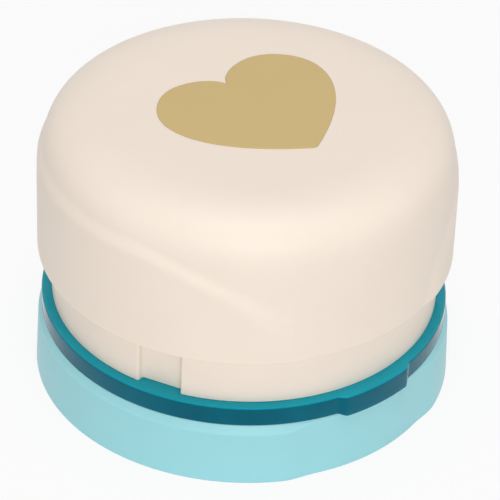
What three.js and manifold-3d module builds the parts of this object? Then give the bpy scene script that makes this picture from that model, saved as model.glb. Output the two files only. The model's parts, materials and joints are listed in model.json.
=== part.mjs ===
// Round palm punch for paper. A push cap slides down over a fixed sleeve and drives a heart-shaped
// steel punch through a guide plate, through the paper and into the die plate of a loose base.
// Four pairs of disc magnets line the head up with the base, on the two sides of the sheet.
// Millimetres, +Z up, the front of the punch towards -Y, the origin at the middle of the underside.

import * as THREE from 'three';
import { mergeVertices } from 'three/addons/utils/BufferGeometryUtils.js';
import Module from 'manifold-3d';

const wasm = await Module();
wasm.setup();

// Driving dimensions of the head and the cap
const skirtLand = 2.6;
const skirtWall = 1.8;
const ringLedge = 1.7;
const ringThickness = 3.45;
const ringBevel = 0.35;
const capClearance = 0.3;
const capGripWall = 2.26;
const capGripStep = 0.58;
const capHeight = 25.6;
const capTopWall = 2;
const capRimRound = 0.35;
const shoulderRun = 11.4;
const shoulderDrop = 9.9;
const shoulderPowerAcross = 2.77;
const shoulderPowerUp = 2.09;
const stroke = 8.5;
const rimMargin = 0.6;

// Driving dimensions of the loose base
const baseStep = 1.1;
const baseHeight = 11.05;
const baseWall = 2.2;
const baseDeck = 2;
const baseTopRound = 1.3;
const baseFootRound = 0.6;
const coverThickness = 1.5;
const coverInset = 0.6;

// The cut shape and the steel that cuts it
const heartWidth = 32;
const cuttingGap = 0.25;
const plateLand = 3.5;
const plateThickness = 2;
const plateCorner = 4;
const ledgeThickness = 1.6;
const punchLength = 12;
const punchSetback = 0.45;
const punchPlay = 0.7;
const foilThickness = 0.12;
const motifShift = 1.42;
const motifForward = 1.81;
const motifMargin = 2;

// Flat front of the base and the cap, and the tab of the ring, in degrees from the front
const panelInset = 0.7;
const panelHalfAngle = 18;
const panelBlendAngle = 10;
const tabHalfAngle = 11.2;
const tabFootAngle = 13;

// Crease between the grip band and the dome: it falls to the rim at both sides of the front
const creaseStartAngle = 26.2;
const creaseEndAngle = 70;
const creaseDrop = 7.6;
const creaseSoftBack = 1.2;
const creaseSoftFront = 4.4;
const creaseBend = 0.6;
const creaseEase = 1.355;
const creaseFoot = 0.02;

// Slide keys of the cap and their channels in the sleeve
const channelAngle = 63.85;
const channelWidth = 7.4;
const channelDepth = 1.4;
const channelBack = 1.7;
const channelPadMargin = 2;
const keyPlay = 0.4;
const keyRise = 2.4;
const keyLength = 10;

// Deck of the sleeve, posts of the cap, and the carrier of the punch
const deckThickness = 2;
const deckPlay = 3.7;
const deckEdge = 3;
const columnRadius = 2.1;
const postRadius = 2.6;
const postPlay = 0.4;
const stopGap = 0.3;
const carrierFlange = 2.5;
const carrierLip = 0.5;
const seatGap = 0.3;
const fitGap = 0.3;

// Return spring
const springWire = 1.3;
const springPlay = 1;
const springTurns = 4.5;

// Magnets
const magnetRadius = 4;
const magnetThickness = 2.4;
const pocketPlay = 0.3;
const pocketWall = 1;
const magnetFloor = 0.9;

// Screws
const screwShank = 1.2;
const screwHead = 1.9;
const screwHeadHeight = 1.4;
const screwPlay = 0.25;
const screwInset = 3.8;
const dieScrewGrip = 1.3;
const bodyScrewGrip = 8;
const postScrewGrip = 6;
const punchScrewGrip = 5;
const coverScrewGrip = 5;
const punchScrewSpread = 7.5;
const coverScrewGap = 0.55;
const bossWall = 1.4;

// Faces around each kind of form
const capFrontStep = 3;
const capBackStep = 6;
const baseFrontStep = 4;
const baseBackStep = 6;
const fineHalfAngle = 36;
const roundSides = 60;
const holeSides = 12;
const magnetSides = 18;
const screwSides = 12;
const shoulderSteps = 7;
const heartSteps = 7;
const cornerSteps = 4;
const wireSides = 5;
const wireStepsPerTurn = 12;
const overrun = 1;

// Places and radii that follow from the cut shape outwards: plates, magnets, sleeve, cap and base
const plateHalf = heartWidth / 2 + plateLand;
const plateScrewPlace = plateHalf - screwInset;
const pocketRadius = magnetRadius + pocketPlay;
const magnetPlace = plateHalf + fitGap + pocketWall + pocketRadius;
const skirtRadius = magnetPlace + pocketRadius + skirtLand;
const ringRadius = skirtRadius + ringLedge;
const capInnerRadius = skirtRadius + capClearance;
const gripRadius = capInnerRadius + capGripWall;
const domeRadius = gripRadius - capGripStep;
const baseRadius = ringRadius + baseStep;
const skirtInnerRadius = skirtRadius - skirtWall;
const motifRadius = heartWidth / 2 + Math.hypot(motifShift, motifForward) + motifMargin;

// Heights that follow from the base upwards
const ringTop = baseHeight + ringThickness;
const capRim = ringTop + stroke + rimMargin;
const capTop = capRim + capHeight;
const capCeiling = capTop - capTopWall;
const creaseTop = capTop - creaseDrop;
const deckTop = capCeiling - stroke - deckPlay;
const deckUnderside = deckTop - deckThickness;
const carrierTop = deckUnderside - stopGap;
const carrierUnderside = carrierTop - carrierFlange;
const punchTip = baseHeight + punchSetback;
const punchTop = punchTip + punchLength;
const plateSeat = baseHeight - plateThickness;
const deckSeat = baseHeight - baseDeck;
const ledgeUnderside = plateSeat - ledgeThickness;
const coverTop = coverInset + coverThickness;

// Cover screws stand outside the heads of the die plate's screws, on the same diagonals
const screwHoleRadius = screwShank + screwPlay;
const coverBossRadius = screwHoleRadius + bossWall;
const coverScrewReach = plateScrewPlace * Math.SQRT2 + screwHead + coverScrewGap + coverBossRadius;

const degrees = THREE.MathUtils.degToRad;

// Finishes
function plastic(color, roughness) {
  return new THREE.MeshStandardMaterial({ color, roughness, metalness: 0 });
}

function metal(color, roughness) {
  return new THREE.MeshStandardMaterial({ color, roughness, metalness: 1 });
}

const creamPlastic = plastic(0xf1e3d3, 0.45);
const aquaPlastic = plastic(0x98d6dc, 0.42);
const tealClear = new THREE.MeshStandardMaterial({
  color: 0x1f8c9b,
  roughness: 0.12,
  metalness: 0,
  transparent: true,
  opacity: 0.7,
});
const goldPrint = metal(0xcdb47f, 0.5);
const whitePlastic = plastic(0xe8e6e0, 0.5);
const toolSteel = metal(0x9a9c9e, 0.35);
const springSteel = metal(0x8c8e90, 0.3);
const magnetPlating = metal(0xb9bbbd, 0.25);
const screwZinc = metal(0xa9abad, 0.35);

// Joining and cutting of closed bodies
function solidOf(geometry) {
  const plain = new THREE.BufferGeometry();
  plain.setAttribute('position', geometry.getAttribute('position').clone());
  if (geometry.index) {
    plain.setIndex(geometry.index.clone());
  }
  const merged = mergeVertices(plain);
  return new wasm.Manifold(new wasm.Mesh({
    numProp: 3,
    vertProperties: new Float32Array(merged.getAttribute('position').array),
    triVerts: new Uint32Array(wholeFaces(merged.index.array)),
  }));
}

function wholeFaces(index) {
  const faces = [];
  for (let i = 0; i < index.length; i += 3) {
    const [a, b, c] = index.slice(i, i + 3);
    if (a !== b && b !== c && c !== a) {
      faces.push(a, b, c);
    }
  }
  return faces;
}

function geometryOf(solid) {
  const mesh = solid.getMesh();
  const geometry = new THREE.BufferGeometry();
  geometry.setAttribute('position', new THREE.BufferAttribute(new Float32Array(mesh.vertProperties), 3));
  geometry.setIndex(new THREE.BufferAttribute(new Uint32Array(mesh.triVerts), 1));
  geometry.computeVertexNormals();
  return geometry;
}

function joined(first, ...others) {
  return others.reduce((body, other) => body.add(other), first);
}

function cut(body, ...tools) {
  return tools.reduce((rest, tool) => rest.subtract(tool), body);
}

// Upright cylinder between two heights
function rod(radius, low, high, x = 0, y = 0, sides = holeSides) {
  const geometry = new THREE.CylinderGeometry(radius, radius, high - low, sides);
  geometry.rotateX(Math.PI / 2);
  geometry.translate(x, y, (low + high) / 2);
  return solidOf(geometry);
}

// Flat outline raised between two heights
function raised(shape, low, high) {
  const settings = { depth: high - low, bevelEnabled: false, curveSegments: cornerSteps };
  const geometry = new THREE.ExtrudeGeometry(shape, settings);
  geometry.translate(0, 0, low);
  return solidOf(geometry);
}

// Body turned about Z from a profile that starts and ends on the axis
function turned(points, sides) {
  const profile = points.map(([radius, height]) => new THREE.Vector2(radius, height));
  const geometry = new THREE.LatheGeometry(profile, sides);
  geometry.rotateX(Math.PI / 2);
  return solidOf(geometry);
}

// Body whose closed profile of [radius, height] points changes with the angle from the front
function wrapped(angles, profileAt) {
  const positions = [];
  const index = [];
  const loops = angles.map(profileAt);
  const count = loops[0].length;
  angles.forEach((angle, column) => {
    for (const [radius, height] of loops[column]) {
      positions.push(radius * Math.sin(degrees(angle)), -radius * Math.cos(degrees(angle)), height);
    }
  });
  for (let column = 0; column < angles.length; column++) {
    const near = column * count;
    const far = ((column + 1) % angles.length) * count;
    for (let row = 0; row < count; row++) {
      const next = (row + 1) % count;
      index.push(near + row, far + row, far + next);
      index.push(near + row, far + next, near + next);
    }
  }
  const geometry = new THREE.BufferGeometry();
  geometry.setAttribute('position', new THREE.Float32BufferAttribute(positions, 3));
  geometry.setIndex(index);
  return solidOf(geometry);
}

// Angles all round, closer together at the front, with any others that a form needs
function roundAngles(frontStep, backStep, others = []) {
  const angles = new Set(others);
  for (let angle = -fineHalfAngle; angle <= fineHalfAngle; angle += frontStep) {
    angles.add(angle);
  }
  for (let angle = fineHalfAngle; angle <= 360 - fineHalfAngle; angle += backStep) {
    angles.add(angle > 180 ? angle - 360 : angle);
  }
  return [...angles].sort((a, b) => a - b);
}

// Share of the front panel's inset at an angle: whole at the front, nothing past its blend
function panelShare(angle) {
  return 1 - THREE.MathUtils.smoothstep(Math.abs(angle), panelHalfAngle, panelHalfAngle + panelBlendAngle);
}

// Half outline of the heart from the notch to the tip, as shares of its width, x out and y back
const heartHalfShares = [
  { from: [0, 0.315], out: [0.02, 0.385], into: [0.12, 0.449], to: [0.24, 0.449] },
  { from: [0.24, 0.449], out: [0.37, 0.449], into: [0.5, 0.32], to: [0.5, 0.18] },
  { from: [0.5, 0.18], out: [0.5, -0.035], into: [0.3, -0.24], to: [0.028, -0.402] },
];
const heartTipShare = -0.412;
const punchForwardShare = 0.069;

function heartHalf(grow) {
  const points = [];
  for (const { from, out, into, to } of heartHalfShares) {
    const curve = new THREE.CubicBezierCurve(
      ...[from, out, into, to].map(([x, y]) => new THREE.Vector2(x, y).multiplyScalar(heartWidth)),
    );
    for (let step = points.length ? 1 : 0; step <= heartSteps; step++) {
      const point = curve.getPoint(step / heartSteps);
      const along = curve.getTangent(step / heartSteps);
      point.add(new THREE.Vector2(-along.y, along.x).multiplyScalar(grow));
      points.push(new THREE.Vector2(Math.max(point.x, 0), point.y));
    }
  }
  const notch = points.findLastIndex((point) => point.x === 0);
  const inner = notch < 0 ? points : points.slice(notch);
  inner.push(new THREE.Vector2(0, heartTipShare * heartWidth - grow));
  return inner;
}

// Closed heart outline around a centre, grown evenly on every side
function heartShape(grow, x, y) {
  const half = heartHalf(grow);
  const other = half.slice(1, -1).reverse().map((point) => new THREE.Vector2(-point.x, point.y));
  const outline = [...half, ...other].map((point) => point.clone().add(new THREE.Vector2(x, y)));
  return new THREE.Shape(outline.reverse());
}

const punchForward = punchForwardShare * heartWidth;
const heartReach = Math.max(...heartShape(0, 0, -punchForward).getPoints().map((point) => point.length()));

function punchHeart(grow, low, high) {
  return raised(heartShape(grow, 0, -punchForward), low, high);
}

// Places that follow from the heart
const openingRadius = heartReach + punchPlay;
const springRadius = heartReach + springPlay + springWire / 2;
const carrierRadius = springRadius + springWire / 2 + carrierLip;
const postPlace = springRadius - springWire / 2 - screwHead - fitGap;
const postAngles = [-45, 45, 180];
const quarterTurns = [0, 90, 180, 270];
const corners = [[-1, -1], [1, -1], [1, 1], [-1, 1]];

function polar(radius, angle) {
  return [radius * Math.sin(degrees(angle)), -radius * Math.cos(degrees(angle))];
}

const plateScrewPlaces = corners.map(([x, y]) => [x * plateScrewPlace, y * plateScrewPlace]);
const magnetPlaces = quarterTurns.map((angle) => polar(magnetPlace, angle));
const postPlaces = postAngles.map((angle) => polar(postPlace, angle));
const coverScrewPlaces = quarterTurns.map((angle) => polar(coverScrewReach, angle + 45));
const punchScrewPlaces = [[-punchScrewSpread, 0], [punchScrewSpread, 0]];

function rodsAt(places, radius, low, high, sides = holeSides) {
  return places.map(([x, y]) => rod(radius, low, high, x, y, sides));
}

function screwHoles(places, low, high) {
  return rodsAt(places, screwHoleRadius, low, high);
}

// A pair of blocks at the channels' places, between two radii and two heights
function channelBlocks(inside, outside, width, low, high) {
  return [-channelAngle, channelAngle].map((angle) => {
    const geometry = new THREE.BoxGeometry(width, outside - inside, high - low);
    geometry.translate(0, -(inside + outside) / 2, (low + high) / 2);
    geometry.rotateZ(degrees(angle));
    return solidOf(geometry);
  });
}

// Square with round corners, for the two steel plates and their seats
function plateShape(half, corner) {
  const shape = new THREE.Shape();
  const flat = half - corner;
  shape.absarc(flat, flat, corner, 0, Math.PI / 2);
  shape.absarc(-flat, flat, corner, Math.PI / 2, Math.PI);
  shape.absarc(-flat, -flat, corner, Math.PI, Math.PI * 1.5);
  shape.absarc(flat, -flat, corner, Math.PI * 1.5, Math.PI * 2);
  return shape;
}

function plateBlock(grow, low, high) {
  return raised(plateShape(plateHalf + grow, plateCorner + grow), low, high);
}

// Cap: dome, crease, grip band and flat front in one thin shell

// Radius of the dome's outer face at a height: a straight wall, then a rounded shoulder whose section
// is a quarter of a stretched superellipse
function domeRadiusAt(height) {
  const up = THREE.MathUtils.clamp((height - capTop) / shoulderDrop + 1, 0, 1);
  return domeRadius - shoulderRun * (1 - (1 - up ** shoulderPowerUp) ** (1 / shoulderPowerAcross));
}

// Height of the crease at an angle from the front, and how steeply it falls along the wall
function creaseAt(angle) {
  const span = creaseEndAngle - creaseStartAngle;
  const share = (Math.abs(angle) - creaseStartAngle) / span;
  const along = THREE.MathUtils.clamp(share, creaseFoot, 1);
  const left = 1 - along ** creaseBend;
  const fall = left ** creaseEase;
  const fallRate = creaseEase * left ** (creaseEase - 1) * creaseBend * along ** (creaseBend - 1);
  const drop = creaseTop - capRim;
  const beyond = Math.max(creaseFoot - share, 0);
  return {
    height: creaseTop - drop * (fall + beyond * fallRate),
    slope: share < 1 ? drop * fallRate / (degrees(span) * gripRadius) : 0,
    soft: creaseSoftBack + (creaseSoftFront - creaseSoftBack) * fall,
  };
}

// Outer radius of the cap: the grip band below the crease, the dome's own face above it
function capRadiusAt(angle, height) {
  const crease = creaseAt(angle);
  const below = (crease.height - height) / Math.hypot(1, crease.slope);
  const band = THREE.MathUtils.smoothstep(below, -crease.soft, 0);
  const dome = domeRadiusAt(height);
  return dome + (gripRadius - dome) * band;
}

// Heights of the rows on the cap's wall, gathered where the crease crosses it
const bandRowShares = [0.5];
const innerShoulderShare = [0.25, 0.18];
const stepRowShares = [0, 0.3, 0.5, 0.7, 1];

function wallHeights(angle) {
  const crease = creaseAt(angle);
  const rowGap = capRimRound / 2;
  const foot = capRim + capRimRound;
  const low = Math.max(crease.height, foot + rowGap * 3);
  const high = crease.height + crease.soft * Math.hypot(1, crease.slope);
  const stepTop = Math.min(Math.max(high, low + rowGap * 5), creaseTop + creaseSoftBack);
  const band = bandRowShares.map((share) => foot + (low - foot) * share);
  const step = stepRowShares.map((share) => low + (stepTop - low) * share);
  return { foot, rows: [...band, ...step], stepTop };
}

// Profile of the cap's wall and top; the flat top has a ring of points round the printed heart
function capProfile(angle) {
  const { foot, rows, stepTop } = wallHeights(angle);
  const outer = [foot, ...rows].map((height) => [capRadiusAt(angle, height), height]);
  const shoulder = [];
  for (let step = 1; step <= shoulderSteps; step++) {
    const turn = (step / shoulderSteps) * Math.PI / 2;
    const height = stepTop + (capTop - stepTop) * Math.sin(turn);
    shoulder.push([capRadiusAt(angle, height), height]);
  }
  const rimRadius = capRadiusAt(angle, capRim);
  const [inShare, downShare] = innerShoulderShare;
  return [
    [capInnerRadius, capRim],
    [rimRadius - capRimRound, capRim],
    ...outer,
    ...shoulder,
    [motifRadius, capTop],
    [0, capTop],
    [0, capCeiling],
    [capInnerRadius - shoulderRun, capCeiling],
    [capInnerRadius - shoulderRun * inShare, capCeiling - shoulderDrop * downShare],
    [capInnerRadius, capCeiling - shoulderDrop / 2],
  ];
}

// Slide keys inside the cap, one for each channel of the sleeve
function capKeys() {
  const inside = skirtRadius - channelDepth + keyPlay;
  const outside = capInnerRadius + capGripWall / 2;
  const foot = capRim + keyRise;
  return channelBlocks(inside, outside, channelWidth - 2 * keyPlay, foot, foot + keyLength);
}

function capShell() {
  const shell = wrapped(roundAngles(capFrontStep, capBackStep), capProfile);
  const posts = rodsAt(postPlaces, postRadius, carrierTop, capCeiling + capTopWall / 2);
  const holes = screwHoles(postPlaces, carrierTop - overrun, carrierTop + postScrewGrip);
  return cut(joined(shell, ...capKeys(), ...posts), ...holes);
}

function heartFoil() {
  return raised(heartShape(0, motifShift, -motifForward), capTop, capTop + foilThickness);
}

// Carrier under the sleeve's deck: a round flange with a heart-shaped boss for the steel punch
function punchCarrier() {
  const flange = rod(carrierRadius, carrierUnderside, carrierTop, 0, 0, roundSides);
  const boss = punchHeart(0, punchTop, carrierUnderside + carrierFlange / 2);
  const postHoles = screwHoles(postPlaces, carrierUnderside - overrun, carrierTop + overrun);
  const punchHoles = screwHoles(punchScrewPlaces, punchTop - overrun, carrierTop + overrun);
  const sinkings = rodsAt(
    punchScrewPlaces,
    screwHead + screwPlay,
    carrierTop - screwHeadHeight - screwPlay,
    carrierTop + overrun,
  );
  return cut(joined(flange, boss), ...postHoles, ...punchHoles, ...sinkings);
}

function heartPunch() {
  const holeFoot = punchTop - punchScrewGrip - screwPlay;
  const holes = screwHoles(punchScrewPlaces, holeFoot, punchTop + overrun);
  return cut(punchHeart(0, punchTip, punchTop), ...holes);
}

// Fixed sleeve: skirt, deck, four screw columns and the two key channels
function skirtBody() {
  return turned([
    [0, deckUnderside],
    [skirtInnerRadius, deckUnderside],
    [skirtInnerRadius, ringTop],
    [skirtRadius, ringTop],
    [skirtRadius, deckTop - deckEdge],
    [skirtRadius - deckEdge, deckTop],
    [0, deckTop],
  ], roundSides);
}

function bodySleeve() {
  const floorRadius = skirtRadius - channelDepth;
  const padWidth = channelWidth + 2 * channelPadMargin;
  const pads = channelBlocks(floorRadius - channelBack, floorRadius, padWidth, ringTop, deckUnderside);
  const outside = skirtRadius + overrun;
  const channels = channelBlocks(floorRadius, outside, channelWidth, ringTop - overrun, deckTop + overrun);
  const columns = rodsAt(plateScrewPlaces, columnRadius, ringTop, deckUnderside + deckThickness / 2);
  const columnHoles = screwHoles(plateScrewPlaces, ringTop - overrun, ringTop + bodyScrewGrip);
  const postHoles = rodsAt(postPlaces, postRadius + postPlay, deckUnderside - overrun, deckTop + overrun);
  return cut(joined(skirtBody(), ...columns, ...pads), ...channels, ...columnHoles, ...postHoles);
}

// Clear ring: the wide foot of the head, with a tab that shows the front
function ringProfile(angle) {
  const away = Math.abs(angle);
  const tab = 1 - THREE.MathUtils.clamp((away - tabHalfAngle) / (tabFootAngle - tabHalfAngle), 0, 1);
  const radius = ringRadius + (baseRadius - ringRadius) * tab;
  return [
    [openingRadius, baseHeight],
    [radius, baseHeight],
    [radius, ringTop - ringBevel],
    [radius - ringBevel, ringTop],
    [openingRadius, ringTop],
  ];
}

function guideRing() {
  const tabAngles = [-tabFootAngle, -tabHalfAngle, tabHalfAngle, tabFootAngle];
  const ring = wrapped(roundAngles(baseFrontStep, baseBackStep, tabAngles), ringProfile);
  const seat = plateBlock(fitGap, baseHeight - overrun, baseHeight + plateThickness);
  const pocketFoot = baseHeight + magnetFloor;
  const pockets = rodsAt(magnetPlaces, pocketRadius, pocketFoot, ringTop + overrun, magnetSides);
  const holes = screwHoles(plateScrewPlaces, baseHeight, ringTop + overrun);
  return cut(ring, seat, ...pockets, ...holes);
}

// Steel plates: the guide plate strips the paper, the die plate cuts against the punch
function countersinks(places, face) {
  const profile = [
    [0, face - overrun],
    [screwHead + screwPlay, face - overrun],
    [screwHead + screwPlay, face],
    [screwHoleRadius, face + screwHeadHeight],
    [0, face + screwHeadHeight],
  ];
  return places.map(([x, y]) => turned(profile, holeSides).translate([x, y, 0]));
}

function guidePlate() {
  const low = baseHeight;
  const high = low + plateThickness;
  const holes = screwHoles(plateScrewPlaces, low - overrun, high + overrun);
  const heart = punchHeart(cuttingGap, low - overrun, high + overrun);
  return cut(plateBlock(0, low, high), heart, ...holes, ...countersinks(plateScrewPlaces, low));
}

function diePlate() {
  const heart = punchHeart(cuttingGap, plateSeat - overrun, baseHeight + overrun);
  const holeTop = plateSeat + dieScrewGrip + screwPlay;
  const holes = screwHoles(plateScrewPlaces, plateSeat - overrun, holeTop);
  return cut(plateBlock(0, plateSeat, baseHeight), heart, ...holes);
}

// Base: a round tray, open below, with a chute for the cut shapes in its middle
const chuteWall = 1.3;
const topRoundShares = [0, 0.4, 0.75, 1];

function baseProfile(angle) {
  const radius = baseRadius - panelInset * panelShare(angle);
  const inside = radius - baseWall;
  const topEdge = topRoundShares.map((share) => {
    const turn = share * Math.PI / 2;
    const out = radius - baseTopRound * (1 - Math.cos(turn));
    return [out, baseHeight - baseTopRound * (1 - Math.sin(turn))];
  });
  return [
    [openingRadius, coverTop],
    [openingRadius + chuteWall, coverTop],
    [openingRadius + chuteWall, deckSeat],
    [inside, deckSeat],
    [inside, 0],
    [radius - baseFootRound, 0],
    [radius, baseFootRound],
    ...topEdge,
    [openingRadius, baseHeight],
  ];
}

function baseShell() {
  const shell = wrapped(roundAngles(baseFrontStep, baseBackStep), baseProfile);
  const inDeck = baseHeight - baseDeck / 2;
  const magnetTop = baseHeight - magnetFloor;
  const magnetFoot = magnetTop - magnetThickness;
  const bore = rod(openingRadius, 0, baseHeight + overrun, 0, 0, roundSides);
  const ledge = cut(plateBlock(fitGap + pocketWall, ledgeUnderside, inDeck), bore);
  const magnetBosses = rodsAt(magnetPlaces, pocketRadius + pocketWall, magnetFoot, inDeck, magnetSides);
  const coverBosses = rodsAt(coverScrewPlaces, coverBossRadius, coverTop, inDeck);
  const seat = plateBlock(fitGap, plateSeat, baseHeight + overrun);
  const pockets = rodsAt(magnetPlaces, pocketRadius, coverTop, magnetTop, magnetSides);
  const dieHoles = screwHoles(plateScrewPlaces, coverTop, plateSeat + overrun);
  const coverHoles = screwHoles(coverScrewPlaces, coverTop - overrun, coverTop + coverScrewGrip);
  const whole = joined(shell, ledge, ...magnetBosses, ...coverBosses);
  return cut(whole, seat, ...pockets, ...dieHoles, ...coverHoles);
}

function bottomCover() {
  const radius = baseRadius - panelInset - baseWall - fitGap;
  const disc = rod(radius, coverInset, coverTop, 0, 0, roundSides);
  const outlet = rod(openingRadius, coverInset - overrun, coverTop + overrun, 0, 0, roundSides);
  const holes = screwHoles(coverScrewPlaces, coverInset - overrun, coverTop + overrun);
  return cut(disc, outlet, ...holes, ...countersinks(coverScrewPlaces, coverInset));
}

// Return spring round the punch: one wire wound at an even pitch, on points along a helix
class Helix extends THREE.Curve {
  constructor(radius, low, high, turns) {
    super();
    Object.assign(this, { radius, low, high, turns });
  }

  getPoint(share, target = new THREE.Vector3()) {
    const turn = share * this.turns * Math.PI * 2;
    const height = this.low + (this.high - this.low) * share;
    return target.set(this.radius * Math.cos(turn), this.radius * Math.sin(turn), height);
  }
}

function returnSpring() {
  const margin = seatGap + springWire / 2;
  const path = new Helix(springRadius, ringTop + margin, carrierUnderside - margin, springTurns);
  const geometry = new THREE.ExtrudeGeometry(wireSection(springWire / 2), {
    extrudePath: path,
    steps: Math.round(springTurns * wireStepsPerTurn),
    bevelEnabled: false,
  });
  reportWireGap(path);
  return solidOf(geometry);
}

function wireSection(radius) {
  const points = [];
  for (let side = 0; side < wireSides; side++) {
    const turn = (side / wireSides) * Math.PI * 2;
    points.push(new THREE.Vector2(radius * Math.cos(turn), radius * Math.sin(turn)));
  }
  return new THREE.Shape(points);
}

// Least distance between points at least half a turn apart on the wire, less the wire itself
function reportWireGap(path) {
  const points = path.getPoints(springTurns * wireStepsPerTurn * 4);
  const apart = wireStepsPerTurn * 2;
  let least = Infinity;
  points.forEach((point, first) => {
    for (let second = first + apart; second < points.length; second++) {
      least = Math.min(least, point.distanceTo(points[second]));
    }
  });
  console.log(`spring: least gap between turns ${(least - springWire).toFixed(2)} mm`);
}

// Screws: those with the head below drive upwards, and only the punch's own screws drive down
function panScrew(headFoot, tip) {
  const headTop = headFoot + screwHeadHeight;
  const head = [[0, headFoot], [screwHead, headFoot], [screwHead, headTop]];
  return turned([...head, [screwShank, headTop], [screwShank, tip], [0, tip]], screwSides);
}

function sunkScrew(face, tip) {
  const head = [[0, face], [screwHead, face], [screwShank, face + screwHeadHeight]];
  return turned([...head, [screwShank, tip], [0, tip]], screwSides);
}

function dieScrew() {
  return panScrew(ledgeUnderside - screwHeadHeight, plateSeat + dieScrewGrip);
}

function coverScrew() {
  return sunkScrew(coverInset, coverTop + coverScrewGrip - screwPlay);
}

function bodyScrew() {
  return sunkScrew(baseHeight, ringTop + bodyScrewGrip - screwPlay);
}

function capScrew() {
  return panScrew(carrierUnderside - screwHeadHeight, carrierTop + postScrewGrip - screwPlay);
}

function punchScrew() {
  const headTop = carrierTop - screwPlay;
  const headFoot = headTop - screwHeadHeight;
  const tip = punchTop - punchScrewGrip;
  const shank = [[0, tip], [screwShank, tip], [screwShank, headFoot]];
  return turned([...shank, [screwHead, headFoot], [screwHead, headTop], [0, headTop]], screwSides);
}

// Disc magnets, facing each other through the floor of the ring and the deck of the base
function magnet(low) {
  return rod(magnetRadius, low, low + magnetThickness, 0, 0, magnetSides);
}

function ringMagnet() {
  return magnet(baseHeight + magnetFloor);
}

function baseMagnet() {
  return magnet(baseHeight - magnetFloor - magnetThickness);
}

// The assembly
const craftPunch = new THREE.Group();

function place(name, solid, material, x = 0, y = 0) {
  const mesh = new THREE.Mesh(geometryOf(solid), material);
  mesh.name = name;
  mesh.position.set(x, y, 0);
  craftPunch.add(mesh);
}

function placeEach(name, places, makeSolid, material) {
  places.forEach(([x, y], index) => place(`${name}_${index + 1}`, makeSolid(), material, x, y));
}

// Loose base
place('base_shell', baseShell(), aquaPlastic);
place('die_plate', diePlate(), toolSteel);
place('bottom_cover', bottomCover(), aquaPlastic);
placeEach('base_magnet', magnetPlaces, baseMagnet, magnetPlating);
placeEach('die_screw', plateScrewPlaces, dieScrew, screwZinc);
placeEach('cover_screw', coverScrewPlaces, coverScrew, screwZinc);

// Head
place('guide_ring', guideRing(), tealClear);
place('guide_plate', guidePlate(), toolSteel);
place('body_sleeve', bodySleeve(), creamPlastic);
place('return_spring', returnSpring(), springSteel);
placeEach('ring_magnet', magnetPlaces, ringMagnet, magnetPlating);
placeEach('body_screw', plateScrewPlaces, bodyScrew, screwZinc);

// Push cap with the punch that it drives
place('cap_shell', capShell(), creamPlastic);
place('heart_foil', heartFoil(), goldPrint);
place('punch_carrier', punchCarrier(), whitePlastic);
place('heart_punch', heartPunch(), toolSteel);
placeEach('cap_screw', postPlaces, capScrew, screwZinc);
placeEach('punch_screw', punchScrewPlaces, punchScrew, screwZinc);

export default craftPunch;
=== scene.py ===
"""Looks of a round craft punch, laid over the packed model of its parts.

Each operator builds one piece, or one group of like pieces, as a fine surface worked out with numpy, and
gives it its finish. The last operator sets the floor, the lamps and the camera. Lengths are in metres, +Z is
up, and the front of the punch faces -Y. Angles around the punch are counted from the front towards +X.
"""

import json
import math

import bpy
import numpy as np
from bpy.props import FloatProperty, FloatVectorProperty, PointerProperty
from mathutils import Matrix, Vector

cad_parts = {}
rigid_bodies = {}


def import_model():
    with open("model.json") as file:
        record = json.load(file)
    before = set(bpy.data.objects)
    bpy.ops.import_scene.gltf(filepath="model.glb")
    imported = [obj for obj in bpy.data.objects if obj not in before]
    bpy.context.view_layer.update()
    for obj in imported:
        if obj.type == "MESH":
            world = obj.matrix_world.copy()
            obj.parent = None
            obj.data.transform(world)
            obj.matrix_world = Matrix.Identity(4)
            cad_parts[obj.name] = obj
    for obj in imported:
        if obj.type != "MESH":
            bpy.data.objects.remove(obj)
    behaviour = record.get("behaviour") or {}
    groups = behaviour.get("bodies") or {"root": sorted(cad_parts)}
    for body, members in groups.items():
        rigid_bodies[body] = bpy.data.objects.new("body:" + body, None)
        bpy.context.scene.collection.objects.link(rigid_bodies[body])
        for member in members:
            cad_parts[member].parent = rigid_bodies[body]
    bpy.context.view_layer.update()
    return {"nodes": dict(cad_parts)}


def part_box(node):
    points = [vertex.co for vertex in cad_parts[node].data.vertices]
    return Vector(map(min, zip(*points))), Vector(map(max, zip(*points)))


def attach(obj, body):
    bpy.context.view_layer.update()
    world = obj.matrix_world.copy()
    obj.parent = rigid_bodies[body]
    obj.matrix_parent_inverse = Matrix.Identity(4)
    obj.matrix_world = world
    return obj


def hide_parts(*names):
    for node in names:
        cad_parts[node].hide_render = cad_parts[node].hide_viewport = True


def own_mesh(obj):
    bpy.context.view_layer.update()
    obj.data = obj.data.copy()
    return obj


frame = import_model()

bl_info = {
    "name": "Craft punch looks",
    "version": (1, 0, 0),
    "blender": (4, 5, 0),
    "location": "3D View > Sidebar > Punch",
    "description": "Fine surfaces, finishes and a stage for a round paper punch",
    "category": "Object",
}

MM = 0.001
# Edges with a larger turn than this are shaded as sharp ones
SHARP_DEGREES = 40
# How far a cutter reaches past what it cuts
OVERRUN = 1 * MM
# Air past a screw's tip in its hole, and the rounding of the hole's mouth
TIP_AIR = 0.25 * MM
HOLE_LIP = 0.1 * MM


def low(node):
    """Lowest corner of a node's box."""
    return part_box(node)[0]


def high(node):
    """Highest corner of a node's box."""
    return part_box(node)[1]


def plan_middle(node):
    """Middle of a node's box in plan."""
    corner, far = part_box(node)
    return (corner.x + far.x) / 2, (corner.y + far.y) / 2


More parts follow.
